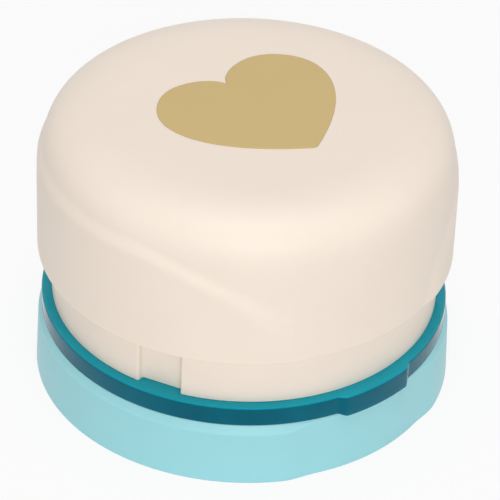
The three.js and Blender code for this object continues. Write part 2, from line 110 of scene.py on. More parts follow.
# Sizes that the packed model gives
CAP_RIM = low("cap_shell").z
CAP_TOP = high("cap_shell").z
SKIRT_RADIUS = high("body_sleeve").x
DECK_TOP = high("body_sleeve").z
RING_RADIUS = high("guide_ring").x
RING_TOP = high("guide_ring").z
BASE_TOP = high("base_shell").z
COVER_RADIUS = high("bottom_cover").x
COVER_LOW = low("bottom_cover").z
COVER_TOP = high("bottom_cover").z
PLATE_HALF = high("die_plate").x
PLATE_SEAT = low("die_plate").z
GUIDE_SEAT = high("guide_plate").z
CARRIER_TOP = high("punch_carrier").z


def length(name, description, default):
    """A property that holds a length."""
    return FloatProperty(
        name=name, description=description, default=default, subtype="DISTANCE", unit="LENGTH", precision=5
    )


def turn(name, description, degrees):
    """A property that holds an angle."""
    return FloatProperty(
        name=name, description=description, default=math.radians(degrees), subtype="ANGLE", unit="ROTATION"
    )


def share(name, description, default):
    """A property that holds a plain number."""
    return FloatProperty(name=name, description=description, default=default)


def colour(name, description, red, green, blue):
    """A property that holds a colour, written as the screen's values from 0 to 255."""
    linear = [linear_light(value / 255) for value in (red, green, blue)]
    return FloatVectorProperty(
        name=name, description=description, default=linear, subtype="COLOR", min=0, max=1
    )


def power(name, description, default):
    """A property that holds a lamp's power."""
    return FloatProperty(name=name, description=description, default=default, unit="POWER")


def linear_light(value):
    """The share of light that a screen value from 0 to 1 stands for."""
    if value <= 0.04045:
        return value / 12.92
    return ((value + 0.055) / 1.055) ** 2.4


class CapSizes(bpy.types.PropertyGroup):
    """Sizes of the push cap and of the heart printed on it."""

    grip_radius: length("Grip radius", "Outer radius of the grip band", 34.33 * MM)
    grip_step: length("Grip step", "How far the grip band stands out of the dome", 0.58 * MM)
    grip_wall: length("Grip wall", "Wall of the grip band", 2.03 * MM)
    rim: length("Rim height", "Height of the cap's lower edge", CAP_RIM)
    rim_round: length("Rim rounding", "Rounding of the lower edge", 0.35 * MM)
    top: length("Top height", "Height of the flat top", CAP_TOP)
    top_wall: length("Top wall", "Wall of the flat top", 2 * MM)
    shoulder_run: length("Shoulder run", "How far the shoulder comes in", 11.4 * MM)
    shoulder_drop: length("Shoulder drop", "How far the shoulder comes down", 25.2 * MM)
    shoulder_across: share("Power across", "Fullness towards the top, 2 being a plain ellipse", 2.186)
    shoulder_up: share("Power up", "Fullness towards the wall, 2 being a plain ellipse", 9.03)
    shoulder_bend: length("Shoulder bend", "Height of the shoulder's finely divided part", 6.5 * MM)
    crease_drop: length("Crease drop", "Depth of the crease's highest line under the top", 8.7 * MM)
    crease_start: turn("Crease start", "Angle where the crease meets the rim", 26.2)
    crease_end: turn("Crease end", "Angle where the crease has reached its height", 70)
    crease_soft_back: length("Crease width at the back", "Width of the crease's slope", 2.6 * MM)
    crease_soft_front: length("Crease width at the front", "Width of the crease's slope", 4.9 * MM)
    crease_fade: share("Crease fade", "Share of its step that the crease loses at its foot", 0.2)
    crease_flare: share("Crease flare", "Power that keeps the slope narrow until the rim is near", 3)
    crease_bend: share("Crease bend", "Power that bends the crease near the front", 0.6)
    crease_ease: share("Crease ease", "Power that eases the crease into its height", 1.355)
    crease_foot: share("Crease foot", "Share of the run that falls straight at the rim", 0.02)
    post_radius: length("Post radius", "Radius of the screw posts", 2.6 * MM)
    post_round: length("Post rounding", "Rounding of the posts' ends", 0.2 * MM)
    key_width: length("Key width", "Width of the slide keys", 6.6 * MM)
    key_inside: length("Key inside", "Radius of the keys' inner face", 31 * MM)
    key_rise: length("Key rise", "Height of the keys' foot over the rim", 2.4 * MM)
    key_length: length("Key length", "Length of the keys", 10 * MM)
    key_sink: length("Key sink", "How far the keys reach into the wall", 0.2 * MM)
    key_round: length("Key rounding", "Rounding of the keys' upright edges", 0.4 * MM)
    key_edge: length("Key edge", "Rounding of the keys' ends", 0.25 * MM)
    heart_width: length("Heart width", "Width of the printed heart", 31.1 * MM)
    heart_shift: length("Heart shift", "Place of the printed heart to the right of the middle", 1.36 * MM)
    heart_back: length("Heart back", "Place of the printed heart to the back of the middle", -2.06 * MM)
    heart_edge: length("Heart edge", "Rounding of the print's edge", 0.1 * MM)


class SleeveSizes(bpy.types.PropertyGroup):
    """Sizes of the fixed sleeve."""

    radius: length("Radius", "Outer radius of the skirt", SKIRT_RADIUS)
    wall: length("Wall", "Wall of the skirt", 1.8 * MM)
    lift: length("Lift", "Air between the sleeve and the ring", 0.04 * MM)
    deck_thickness: length("Deck thickness", "Thickness of the deck", 2 * MM)
    deck_edge: length("Deck edge", "Chamfer of the deck", 3 * MM)
    channel_angle: turn("Channel angle", "Place of the two key channels", 63.85)
    channel_width: length("Channel width", "Width of the key channels", 7.4 * MM)
    channel_floor: length("Channel floor", "Radius of the channels' floor", 30.6 * MM)
    pad_width: length("Pad width", "Width of the pads behind the channels", 11.4 * MM)
    pad_floor: length("Pad floor", "Radius of the pads' inner face", 28.9 * MM)
    edge: length("Edge", "Rounding of the channels' edges", 0.35 * MM)
    foot_round: length("Foot rounding", "Rounding of the skirt's lower edge", 0.1 * MM)
    column_radius: length("Column radius", "Radius of the four screw columns", 2.1 * MM)
    column_round: length("Column rounding", "Rounding of the columns' ends", 0.1 * MM)
    post_hole: length("Post hole", "Radius of the holes for the cap's posts", 3 * MM)


class RingSizes(bpy.types.PropertyGroup):
    """Sizes of the clear ring."""

    radius: length("Radius", "Outer radius", RING_RADIUS)
    bore: length("Bore", "Radius of the middle opening", 17.3 * MM)
    lift: length("Lift", "Air between the ring and the base", 0.04 * MM)
    bevel: length("Bevel", "Bevel of the upper edge", 0.35 * MM)
    edge: length("Edge", "Rounding of the other edges", 0.12 * MM)
    tab_angle: turn("Tab angle", "Half of the tab's width", 10.2)
    tab_foot: turn("Tab foot", "Half of the tab's width where it leaves the ring", 13.3)
    tab_turn: turn("Tab turn", "Turn of the tab from the front to the right", 0.8)
    tab_drop: length("Tab drop", "How far the tab reaches down over the base's edge", 0.45 * MM)
    tab_step: length("Tab step", "How far inside the ring's edge the tab starts to reach down", 0.2 * MM)
    seat_play: length("Seat play", "Air round the steel plates", 0.3 * MM)
    corner: length("Plate corner", "Corner radius of the steel plates", 4 * MM)
    pocket_radius: length("Pocket radius", "Radius of the magnets' pockets", 4.3 * MM)
    pocket_floor: length("Pocket floor", "Floor under the magnets", 0.9 * MM)


class BaseSizes(bpy.types.PropertyGroup):
    """Sizes of the loose base and its cover."""

    radius: length("Radius", "Outer radius at the foot", 34.65 * MM)
    draft: length("Draft", "How much the wall draws in up to its top", 0.35 * MM)
    wall: length("Wall", "Wall of the base", 2.2 * MM)
    slope_run: length("Slope run", "How far the slope on the upper edge draws in", 0.75 * MM)
    slope_drop: length("Slope drop", "How far the slope on the upper edge comes down", 1.45 * MM)
    top_round: length("Top rounding", "Rounding under the slope", 0.3 * MM)
    foot_round: length("Foot rounding", "Rounding of the lower edge", 0.12 * MM)
    edge: length("Edge", "Rounding of the inner edges", 0.12 * MM)
    deck_thickness: length("Deck thickness", "Thickness of the deck", 2 * MM)
    ledge_thickness: length("Ledge thickness", "Thickness of the die plate's ledge", 1.6 * MM)
    ledge_width: length("Ledge width", "Width of the ledge past the die plate's seat", 1 * MM)
    chute_wall: length("Chute wall", "Wall of the chute", 1.3 * MM)
    panel_inset: length("Panel inset", "How far the front panel is set back", 0.7 * MM)
    panel_angle: turn("Panel angle", "Half of the front panel's width", 18)
    panel_blend: turn("Panel blend", "Width of the slope beside the panel", 10)
    panel_narrowing: share("Panel narrowing", "Share that the edge's slope loses over the panel", 0.6)
    boss_wall: length("Boss wall", "Wall of the screw bosses", 1.4 * MM)
    boss_round: length("Boss rounding", "Rounding of the bosses and the cups", 0.1 * MM)
    cup_wall: length("Cup wall", "Wall of the magnets' cups", 1 * MM)
    outlet_round: length("Outlet rounding", "Rounding of the cover's middle opening", 0.3 * MM)
    cover_round: length("Cover rounding", "Rounding of the cover's lower edge", 0.2 * MM)
    cover_edge: length("Cover edge", "Rounding of the cover's upper edges", 0.1 * MM)


class HardwareSizes(bpy.types.PropertyGroup):
    """Sizes of the screws, magnets and the spring."""

    shank: length("Shank radius", "Radius over the screw threads", 1.2 * MM)
    core: length("Core radius", "Radius between the screw threads", 0.88 * MM)
    pitch: length("Pitch", "Pitch of the screw threads", 0.85 * MM)
    head_height: length("Head height", "Height of the screw heads", 1.4 * MM)
    hole: length("Hole radius", "Radius of the screw holes", 1.45 * MM)
    sink: length("Countersink radius", "Radius of the countersinks", 2.15 * MM)
    recess_length: length("Recess length", "Half length of the cross recess", 1.05 * MM)
    recess_width: length("Recess width", "Half width of the cross recess", 0.26 * MM)
    recess_depth: length("Recess depth", "Depth of the cross recess", 0.8 * MM)
    magnet_edge: length("Magnet edge", "Rounding of the magnets' edges", 0.25 * MM)
    wire: length("Spring wire", "Thickness of the spring wire", 1.3 * MM)
    coils: share("Spring turns", "Turns of the spring", 4.5)
    stroke: length("Stroke", "Travel of the cap", 8.5 * MM)


class Finishes(bpy.types.PropertyGroup):
    """Colours of the finishes."""

    cream: colour("Cream", "Plastic of the cap and the sleeve", 242, 228, 214)
    aqua: colour("Aqua", "Plastic of the base", 156, 216, 223)
    teal: colour("Teal", "Clear plastic of the ring", 42, 220, 243)
    # Painted shade given to the ring's side, darker than its top
    teal_shaded_side: colour("Teal side", "Clear plastic of the ring, seen through its side", 18, 106, 134)
    teal_gloss: colour("Teal gloss", "Gloss of the ring's clear plastic", 50, 220, 240)
    gold: colour("Gold", "Print of the heart", 200, 175, 118)
    white: colour("White", "Plastic of the punch's carrier", 226, 225, 220)
    tool_steel: colour("Tool steel", "Punch, die plate and guide plate", 172, 174, 176)
    spring_steel: colour("Spring steel", "Wire of the return spring", 150, 151, 154)
    nickel: colour("Nickel", "Plating of the magnets", 196, 193, 186)
    zinc: colour("Zinc", "Plating of the screws", 184, 187, 192)


class StageSettings(bpy.types.PropertyGroup):
    """Camera, floor and lamps."""

    distance: length("Camera distance", "From the punch's axis to the camera", 512 * MM)
    azimuth: turn("Camera azimuth", "Angle of the camera from the front", -40)
    elevation: turn("Camera elevation", "Angle of the camera over the floor", 35.68)
    roll: turn("Camera roll", "Turn of the camera about its view", 2.14)
    look_height: length("Look height", "Height that the camera looks at", 21.24 * MM)
    side: length("Side offset", "Offset of the camera to its right", 0.79 * MM)
    lens: share("Lens", "Focal length in millimetres on a 36 mm sensor", 222.6)
    floor_size: length("Floor size", "Width of the floor", 6)
    floor: colour("Floor", "Colour of the floor", 238, 238, 238)
    floor_glow: share("Floor glow", "Share of the floor's own white that the camera sees", 0.86)
    ambient: share("Ambient", "Strength of the light from all round", 0.5)
    lamp_size: length("Lamp size", "Width of the lamps", 0.55)
    lamp_distance: length("Lamp distance", "Distance of the lamps", 0.9)
    lamp_azimuth: turn("Lamp azimuth", "Angle of the lamps from the camera", 5)
    front_elevation: turn("Front lamp elevation", "Angle of the front lamp over the floor", 22)
    top_elevation: turn("Top lamp elevation", "Angle of the top lamp over the floor", 85)
    front_power: power("Front lamp", "Power of the front lamp", 2.8)
    top_power: power("Top lamp", "Power of the top lamp", 2.65)


# Shader sums


class Field:
    """A value that varies over a surface, held by a node's socket, for use in sums."""

    def __init__(self, paint, socket):
        self.paint = paint
        self.socket = socket

    def _sum(self, operation, first, second):
        return self.paint.node("ShaderNodeMath", {"operation": operation}, {0: first, 1: second})

    def __add__(self, other):
        return self._sum("ADD", self, other)

    def __radd__(self, other):
        return self._sum("ADD", other, self)

    def __sub__(self, other):
        return self._sum("SUBTRACT", self, other)

    def __rsub__(self, other):
        return self._sum("SUBTRACT", other, self)

    def __mul__(self, other):
        return self._sum("MULTIPLY", self, other)

    def __rmul__(self, other):
        return self._sum("MULTIPLY", other, self)

    def __gt__(self, other):
        return self._sum("GREATER_THAN", self, other)


class Paint:
    """Builds the nodes of one material, or of the world where one is given."""

    def __init__(self, name, world=None):
        self.owner = world or bpy.data.materials.new(f"{name}_finish")
        self.owner.use_nodes = True
        self.tree = self.owner.node_tree
        self.tree.nodes.clear()

    def node(self, kind, settings=None, inputs=None, output=0):
        """Adds a node: its settings first, then the values or links of its sockets."""
        made = self.tree.nodes.new(kind)
        for name, value in (settings or {}).items():
            setattr(made, name, value)
        for name, value in (inputs or {}).items():
            if isinstance(value, Field):
                self.tree.links.new(value.socket, made.inputs[name])
            else:
                made.inputs[name].default_value = value
        return Field(self, made.outputs[output]) if made.outputs else None

    def place(self, stretch=(1, 1, 1)):
        """Object coordinates, stretched along each axis."""
        spot = self.node("ShaderNodeTexCoord", output="Object")
        if stretch == (1, 1, 1):
            return spot
        return self.node("ShaderNodeMapping", inputs={"Vector": spot, "Scale": stretch})

    def noise(self, place, size, detail=2.0, roughness=0.5):
        """Soft noise from 0 to 1 whose lumps are about that size."""
        inputs = {"Vector": place, "Scale": 1 / size, "Detail": detail, "Roughness": roughness}
        return self.node("ShaderNodeTexNoise", inputs=inputs)

    def specks(self, place, spacing, radius, kept):
        """Mask of round soft specks of a radius, about a spacing apart, of which only a share is kept."""
        settings = {"feature": "F1"}
        inputs = {"Vector": place, "Scale": 1 / spacing}
        distance = self.node("ShaderNodeTexVoronoi", settings, inputs, output="Distance")
        pick = self.node("ShaderNodeTexVoronoi", settings, inputs, output="Color")
        dot = self.between(distance, 1.4 * radius / spacing, 0.6 * radius / spacing)
        lot = self.node("ShaderNodeSeparateColor", inputs={0: pick})
        return dot * (lot > 1 - kept)

    def between(self, value, start, end):
        """Smooth step of a value: 0 at start, 1 at end."""
        inputs = {"Value": value, "From Min": start, "From Max": end}
        return self.node("ShaderNodeMapRange", {"interpolation_type": "SMOOTHSTEP"}, inputs)

    def attribute(self, name):
        """A number that the mesh holds at each vertex."""
        return self.node("ShaderNodeAttribute", {"attribute_name": name}, output="Fac")

    def mix(self, factor, first, second):
        """Colour between two colours."""
        inputs = {0: factor, 6: first, 7: second}
        return self.node("ShaderNodeMix", {"data_type": "RGBA"}, inputs, output=2)

    def bump(self, relief, height):
        """Normal of a surface whose relief stands out by that height in metres where it is 1."""
        return self.node("ShaderNodeBump", inputs={"Height": relief, "Distance": height})

    def finish(self, shader, output="ShaderNodeOutputMaterial"):
        """Links the shader to the output."""
        self.node(output, inputs={"Surface": shader})
        return self.owner

    def principled(self, **inputs):
        """The main shader, with its sockets named in words joined by underscores."""
        named = {name.replace("_", " "): value for name, value in inputs.items()}
        return self.node("ShaderNodeBsdfPrincipled", inputs=named)


def shade(tint, factor):
    """A colour made darker or lighter by a factor, with its alpha."""
    return [min(1.0, channel * factor) for channel in tint[:3]] + [1.0]


def moulded_plastic(name, tint, roughness, soft):
    """Moulded plastic: a fine satin grain, faint clouds of the moulding, edges lightened as wear and as
    painted highlight, and a few specks.
    """
    paint = Paint(name)
    place = paint.place()
    cloud = paint.noise(place, 14 * MM, detail=3)
    grain = paint.noise(place, 0.22 * MM, detail=3, roughness=0.6)
    waves = paint.noise(place, 6 * MM, detail=1)
    wear_and_sheen = paint.attribute("wear_and_sheen")
    dust = paint.specks(place, 5.2 * MM, 0.13 * MM, 0.3)
    scuff = paint.specks(paint.place((1, 3.2, 1)), 21 * MM, 0.42 * MM, 0.35)
    toned = paint.mix(cloud, shade(tint, 0.975), shade(tint, 1.02))
    # Lighter along marked edges: wear, and a painted highlight on the cap's crease and the base's slope
    worn = paint.mix(wear_and_sheen * 0.6, toned, shade(tint, 1.07))
    marked = paint.mix(dust * 0.3 + scuff * 0.12, worn, shade(tint, 0.55))
    relief = grain * 0.7 + waves * 3.0 - scuff * 1.2
    shader = paint.principled(
        Base_Color=marked,
        Roughness=roughness + cloud * 0.05 + grain * 0.06 - wear_and_sheen * 0.1 + scuff * 0.1,
        Normal=paint.bump(relief, 0.006 * MM),
        Specular_IOR_Level=0.42,
        Subsurface_Weight=soft,
        Subsurface_Radius=(1.0, 0.8, 0.65),
        Subsurface_Scale=0.9 * MM,
    )
    return paint.finish(shader)


def cream_plastic(tints):
    """Cap and sleeve."""
    return moulded_plastic("cream_plastic", tints.cream, 0.4, 0.12)


def aqua_plastic(tints):
    """Base and cover."""
    return moulded_plastic("aqua_plastic", tints.aqua, 0.4, 0.1)


def white_plastic(tints):
    """Carrier of the punch."""
    return moulded_plastic("white_plastic", tints.white, 0.46, 0.08)


# Depth under the ring's top over which the top's tint turns into the side's painted shade
SIDE_SHADE_DEPTH = 0.3 * MM


def clear_teal(tints):
    """Clear tinted plastic whose side is coloured darker than its top as painted shade, with flow lines and
    hair scratches.
    """
    paint = Paint("clear_teal")
    place = paint.place()
    height = paint.node("ShaderNodeSeparateXYZ", inputs={0: place}, output=2)
    # Painted shade: below the top's edge the ring takes the darker colour of its side
    side = paint.between(height, RING_TOP, RING_TOP - SIDE_SHADE_DEPTH)
    flow = paint.noise(paint.place((1, 1, 4)), 7 * MM, detail=2)
    hair = paint.between(paint.noise(paint.place((1, 1, 30)), 2.2 * MM, detail=4), 0.66, 0.72)
    cloud = paint.noise(place, 9 * MM, detail=2)
    wear_and_sheen = paint.attribute("wear_and_sheen")
    shader = paint.principled(
        Base_Color=paint.mix(cloud * 0.2 + side * 0.8, shade(tints.teal, 1.03), shade(tints.teal_shaded_side, 1)),
        Roughness=0.05 + flow * 0.03 + hair * 0.12 + wear_and_sheen * 0.1,
        Normal=paint.bump(flow * 2.0 + hair * 0.5, 0.004 * MM),
        Transmission_Weight=0.52,
        IOR=1.49,
        Specular_IOR_Level=0.15,
        Specular_Tint=shade(tints.teal_gloss, 1),
    )
    return paint.finish(shader)


def gold_print(tints):
    """Matt gold print: fine flakes, soft clouds and a few hair scratches."""
    paint = Paint("gold_print")
    place = paint.place()
    flakes = paint.noise(place, 0.12 * MM, detail=2, roughness=0.7)
    cloud = paint.noise(place, 8 * MM, detail=3)
    hair = paint.between(paint.noise(paint.place((1, 9, 1)), 3.4 * MM, detail=5), 0.7, 0.76)
    speck = paint.specks(place, 7 * MM, 0.16 * MM, 0.25)
    toned = paint.mix(cloud, shade(tints.gold, 0.965), shade(tints.gold, 1.03))
    sparkled = paint.mix(flakes * 0.25, toned, shade(tints.gold, 1.2))
    marked = paint.mix(hair * 0.25 + speck * 0.5, sparkled, shade(tints.gold, 0.55))
    shader = paint.principled(
        Base_Color=marked,
        Metallic=0.15 + flakes * 0.1,
        Roughness=0.46 + cloud * 0.06 + flakes * 0.1,
        Normal=paint.bump(flakes, 0.004 * MM),
    )
    return paint.finish(shader)


def ground_steel(name, tint, roughness, stretch):
    """Ground steel: fine lines along one way, soft stains and small pits."""
    paint = Paint(name)
    place = paint.place()
    lines = paint.noise(paint.place(stretch), 0.9 * MM, detail=4, roughness=0.65)
    stain = paint.noise(place, 5 * MM, detail=3)
    pits = paint.specks(place, 1.7 * MM, 0.06 * MM, 0.3)
    toned = paint.mix(stain, shade(tint, 0.86), shade(tint, 1.08))
    lined = paint.mix(lines * 0.3, toned, shade(tint, 0.7))
    shader = paint.principled(
        Base_Color=paint.mix(pits * 0.6, lined, shade(tint, 0.3)),
        Metallic=1.0,
        Roughness=roughness + lines * 0.16 + stain * 0.06,
        Normal=paint.bump(lines - pits * 0.8, 0.005 * MM),
    )
    return paint.finish(shader)


def tool_steel(tints):
    """Punch, die plate and guide plate, ground across."""
    return ground_steel("tool_steel", tints.tool_steel, 0.24, (1, 26, 1))


def spring_steel(tints):
    """Drawn wire of the return spring."""
    return ground_steel("spring_steel", tints.spring_steel, 0.26, (1, 1, 18))


def plated_metal(name, tint, roughness, warm):
    """Bright plating: soft clouds of another tint, fine pits and dull worn spots."""
    paint = Paint(name)
    place = paint.place()
    cloud = paint.noise(place, 1.6 * MM, detail=3)
    grain = paint.noise(place, 0.14 * MM, detail=2)
    worn = paint.between(paint.noise(place, 0.9 * MM, detail=4), 0.58, 0.7)
    toned = paint.mix(cloud, shade(tint, 0.9), [tint[0] * warm, tint[1], tint[2] / warm, 1])
    shader = paint.principled(
        Base_Color=paint.mix(worn * 0.5, toned, shade(tint, 0.62)),
        Metallic=1.0,
        Roughness=roughness + cloud * 0.08 + worn * 0.16,
        Normal=paint.bump(grain + worn * 0.6, 0.004 * MM),
    )
    return paint.finish(shader)


def magnet(tints):
    """Nickel plating of the magnets."""
    return plated_metal("magnet", tints.nickel, 0.16, 1.03)


def screw(tints):
    """Zinc plating of the screws."""
    return plated_metal("screw", tints.zinc, 0.24, 0.96)


PAINTERS = {
    "cream_plastic": cream_plastic,
    "aqua_plastic": aqua_plastic,
    "white_plastic": white_plastic,
    "clear_teal": clear_teal,
    "gold_print": gold_print,
    "tool_steel": tool_steel,
    "spring_steel": spring_steel,
    "magnet": magnet,
    "screw": screw,
}


def finish_of(slot):
    """The finish of one of the record's slots, made at its first use."""
    return bpy.data.materials.get(f"{slot}_finish") or PAINTERS[slot](bpy.context.scene.punch_finishes)


# Surfaces on grids


def closed_mesh(name, points, poles=None, sharp=SHARP_DEGREES):
    """Mesh of a grid of points whose columns close on themselves.

    Without poles the rows close too, as on a ring. With poles the first and last rows are closed by fans of
    triangles to two single points. The faces are turned outwards by the sign of the enclosed volume.
    """
    columns, rows = points.shape[:2]
    here = np.arange(columns)[:, None] * rows
    there = (here + rows) % (columns * rows)
    row = np.arange(rows - 1 if poles is not None else rows)[None, :]
    above = (row + 1) % rows
    quads = np.stack([here + row, there + row, there + above, here + above], axis=-1).reshape(-1, 4)
    vertices = points.reshape(-1, 3)
    faces = quads.tolist()
    corners = np.concatenate([quads[:, [0, 1, 2]], quads[:, [0, 2, 3]]])
    if poles is not None:
        first, last = len(vertices), len(vertices) + 1
        vertices = np.concatenate([vertices, np.asarray(poles, float)])
        start = np.stack([np.full(columns, first), there[:, 0], here[:, 0]], axis=-1)
        end = np.stack([np.full(columns, last), here[:, 0] + rows - 1, there[:, 0] + rows - 1], axis=-1)
        fans = np.concatenate([start, end])
        faces += fans.tolist()
        corners = np.concatenate([corners, fans])
    a, b, c = (vertices[corners[:, k]] for k in range(3))
    if np.einsum("ij,ij->i", a, np.cross(b, c)).sum() < 0:
        faces = [face[::-1] for face in faces]
    mesh = bpy.data.meshes.new(name)
    mesh.from_pydata(vertices.tolist(), [], faces)
    return smoothed(mesh, sharp)


def smoothed(mesh, sharp):
    """The mesh shaded smooth, apart from edges sharper than an angle in degrees."""
    mesh.shade_smooth()
    mesh.set_sharp_from_angle(angle=math.radians(sharp))
    mesh.validate()
    return mesh


def piece(name, mesh, body, slot, nodes=()):
    """Puts a mesh into the scene as a piece that rides on a body and stands for some nodes."""
    made = bpy.data.objects.new(name, mesh)
    bpy.context.scene.collection.objects.link(made)
    mesh.materials.clear()
    mesh.materials.append(finish_of(slot))
    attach(made, body)
    if nodes:
        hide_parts(*nodes)
    return made


def wear_and_sheen_band(distance, width):
    """How much a surface is lightened, as wear and as painted highlight, at a distance from an edge:
    exp(-(distance / width)^2).
    """
    return np.exp(-((distance / width) ** 2))


def hold_wear_and_sheen(mesh, values):
    """Keeps at each vertex how much the surface is lightened as wear and as painted highlight, from 0 to 1.
    Poles get nothing.
    """
    field = np.zeros(len(mesh.vertices), np.float32)
    field[: values.size] = values.reshape(-1)
    mesh.attributes.new("wear_and_sheen", "FLOAT", "POINT").data.foreach_set("value", field)


def carved(mesh, cutters):
    """The mesh with other closed meshes cut out of it."""
    scene = bpy.context.scene.collection.objects
    body = bpy.data.objects.new("body", mesh)
    scene.link(body)
    tools = []
    for cutter in cutters:
        tool = bpy.data.objects.new("cutter", cutter)
        scene.link(tool)
        tools.append(tool)
        step = body.modifiers.new("cut", "BOOLEAN")
        step.operation = "DIFFERENCE"
        step.solver = "EXACT"
        step.object = tool
    ready = body.evaluated_get(bpy.context.evaluated_depsgraph_get())
    result = bpy.data.meshes.new_from_object(ready)
    result.name = mesh.name
    for spent in [body, *tools]:
        bpy.data.objects.remove(spent)
    return smoothed(result, SHARP_DEGREES)


def upright(angles, radii, heights):
    """Points at a radius and a height for each angle from the front: (r sin a, -r cos a, z)."""
    shape = np.broadcast_shapes(angles.shape, np.shape(radii), np.shape(heights))
    flat = [np.broadcast_to(radii * np.sin(angles), shape), np.broadcast_to(-radii * np.cos(angles), shape)]
    return np.stack([*flat, np.broadcast_to(heights, shape)], axis=-1)


def full_turn(count):
    """Evenly spaced angles all round, as a column."""
    return np.linspace(-np.pi, np.pi, count, endpoint=False)[:, None]


def cubic(t, start, leaving, arriving, end):
    """Points of a cubic curve at shares t of its way: (1-t)^3, 3t(1-t)^2, 3t^2(1-t) and t^3 of its points."""
    return (1 - t) ** 3 * start + 3 * t * (1 - t) ** 2 * leaving + 3 * t**2 * (1 - t) * arriving + t**3 * end


# Share of the way to the corner where a quarter circle's handles lie, and how far on the holding points are
CIRCLE_HANDLE = 0.5523
HOLD_SHARE = 0.35


def softened(corners, cuts, steps=5):
    """Outline whose corners are swapped for quarter curves.

    A curve starts and ends at the cut's length from the corner, and runs as a cubic whose handles reach
    0.5523 of the way to the corner, which is an arc where the corner is square. A holding point on each side
    keeps the flat beside the curve flat. A cut of nothing keeps the corner.
    """
    count = corners.shape[-2]
    t = np.linspace(0, 1, steps)[:, None]
    rows = []
    for index, cut in enumerate(cuts):
        corner = corners[..., index, None, :]
        if cut == 0:
            rows.append(corner)
            continue
        back = corners[..., index - 1, None, :] - corner
        forth = corners[..., (index + 1) % count, None, :] - corner
        back = back / np.linalg.norm(back, axis=-1, keepdims=True)
        forth = forth / np.linalg.norm(forth, axis=-1, keepdims=True)
        near = cut * (1 - CIRCLE_HANDLE)
        hold = cut * (1 + HOLD_SHARE)
        leaving, arriving = corner + back * near, corner + forth * near
        curve = cubic(t, corner + back * cut, leaving, arriving, corner + forth * cut)
        rows += [corner + back * hold, curve, corner + forth * hold]
    return np.concatenate(rows, axis=-2)


def swept_profile(angles, radii, heights, cuts, steps=5):
    """Radii and heights of a closed profile at each angle, whose corners may be numbers or vary with it."""
    corners = [[np.broadcast_to(value, angles.shape) for value in values] for values in (radii, heights)]
    profile = softened(np.stack([np.concatenate(line, axis=1) for line in corners], axis=-1), cuts, steps)
    return profile[..., 0], profile[..., 1]


def turned(name, corners, cuts, x=0.0, y=0.0, columns=96):
    """Solid of revolution about an upright axis, from a closed profile of radii and heights."""
    profile = softened(np.array(corners, float), cuts)
    points = upright(full_turn(columns), profile[None, :, 0], profile[None, :, 1])
    return closed_mesh(name, points + [x, y, 0])


def turned_solid(name, corners, cuts, x, y, columns=48):
    """Solid of revolution whose profile starts and ends on the axis, where single points close it."""
    path = softened(np.array(corners, float), cuts)
    points = upright(full_turn(columns), path[None, 1:-1, 0], path[None, 1:-1, 1])
    poles = [[x, y, path[0, 1]], [x, y, path[-1, 1]]]
    return closed_mesh(name, points + [x, y, 0], poles)


def rod(radius, bottom, top, x, y):
    """Plain upright cylinder."""
    corners = [(0, bottom), (radius, bottom), (radius, top), (0, top)]
    return turned_solid("rod", corners, [0] * 4, x, y)


def bored_post(name, screw_node, body, slot, radius, foot, top, rounding, lip=0.0):
    """Post that hangs from a top to a foot, with a blind hole that ends a little past its screw's tip."""
    hole = bpy.context.scene.punch_hardware.hole
    end = high(screw_node).z + TIP_AIR
    corners = [(0, end), (hole, end), (hole, foot), (radius, foot), (radius, top), (0, top)]
    post = turned_solid(name, corners, [0, 0, lip, rounding, 0, 0], *plan_middle(screw_node))
    piece(name, post, body, slot)


def inset(outline, amount):
    """A closed outline moved inwards along its own normals by an amount."""
    along = np.roll(outline, -1, axis=0) - np.roll(outline, 1, axis=0)
    along = along / np.linalg.norm(along, axis=1, keepdims=True)
    return outline - np.stack([along[:, 1], -along[:, 0]], axis=1) * amount


def prism(name, outline, bottom, top, edge, centre):
    """Upright solid of a counter-clockwise outline, with its two ends' edges rounded.

    Each row is the outline moved inwards by a quarter circle's run at that row's height. The ends are closed
    by fans from a centre that sees the whole outline.
    """
    arc = np.linspace(0, np.pi / 2, 5)
    run = edge * (1 - np.sin(arc))
    rise = edge * (1 - np.cos(arc))
    inner = edge * (1 + HOLD_SHARE * 4)
    moves = [(inner, bottom), *zip(run, bottom + rise), *zip(run[::-1], top - rise[::-1]), (inner, top)]
    rows = [np.column_stack([inset(outline, move), np.full(len(outline), z)]) for move, z in moves]
    points = np.stack(rows, axis=1)
    return closed_mesh(name, points, [[*centre, bottom], [*centre, top]])


# Outlines


# Corner points of the right half's cubics, as shares of the width, and the points that each one gets
HEART_CURVE_SHARES = (
    ((0, 0.315), (0.02, 0.385), (0.12, 0.449), (0.24, 0.449)),
    ((0.24, 0.449), (0.37, 0.449), (0.5, 0.32), (0.5, 0.18)),
    ((0.5, 0.18), (0.5, -0.035), (0.3, -0.24), (0.028, -0.402)),
    ((0.028, -0.402), (0.02, -0.4082), (0.0105, -0.412), (0, -0.412)),
)
HEART_STEPS = (28, 28, 40, 5)


def heart_outline(width, x, y):
    """Counter-clockwise heart: four cubics a half, from the notch over the lobe to the tip, then mirrored."""
    half = []
    for curve, steps in zip(HEART_CURVE_SHARES, HEART_STEPS):
        half.append(cubic(np.linspace(0, 1, steps, endpoint=False)[:, None], *np.array(curve)))
    half = np.concatenate([*half, [HEART_CURVE_SHARES[-1][-1]]])
    left = half[1:-1][::-1] * [-1, 1]
    return np.concatenate([half, left])[::-1] * width + [x, y]


def round_square(angles, half, corner):
    """Radius of a square with round corners at each angle: a flat side, or a circle at the corner."""
    across = np.maximum(np.abs(np.sin(angles)), np.abs(np.cos(angles)))
    along = np.minimum(np.abs(np.sin(angles)), np.abs(np.cos(angles)))
    middle = half - corner
    reach = middle * (across + along)
    bend = reach + np.sqrt(np.maximum(reach**2 - 2 * middle**2 + corner**2, 0))
    return np.where(half * along / across <= middle, half / across, bend)


# How much more a notch's walls draw in, the pad beside it, and the points of each arc between notches
WALL_DRAW = 0.985
NOTCH_PAD = math.radians(0.9)
ARC_POINTS = 130


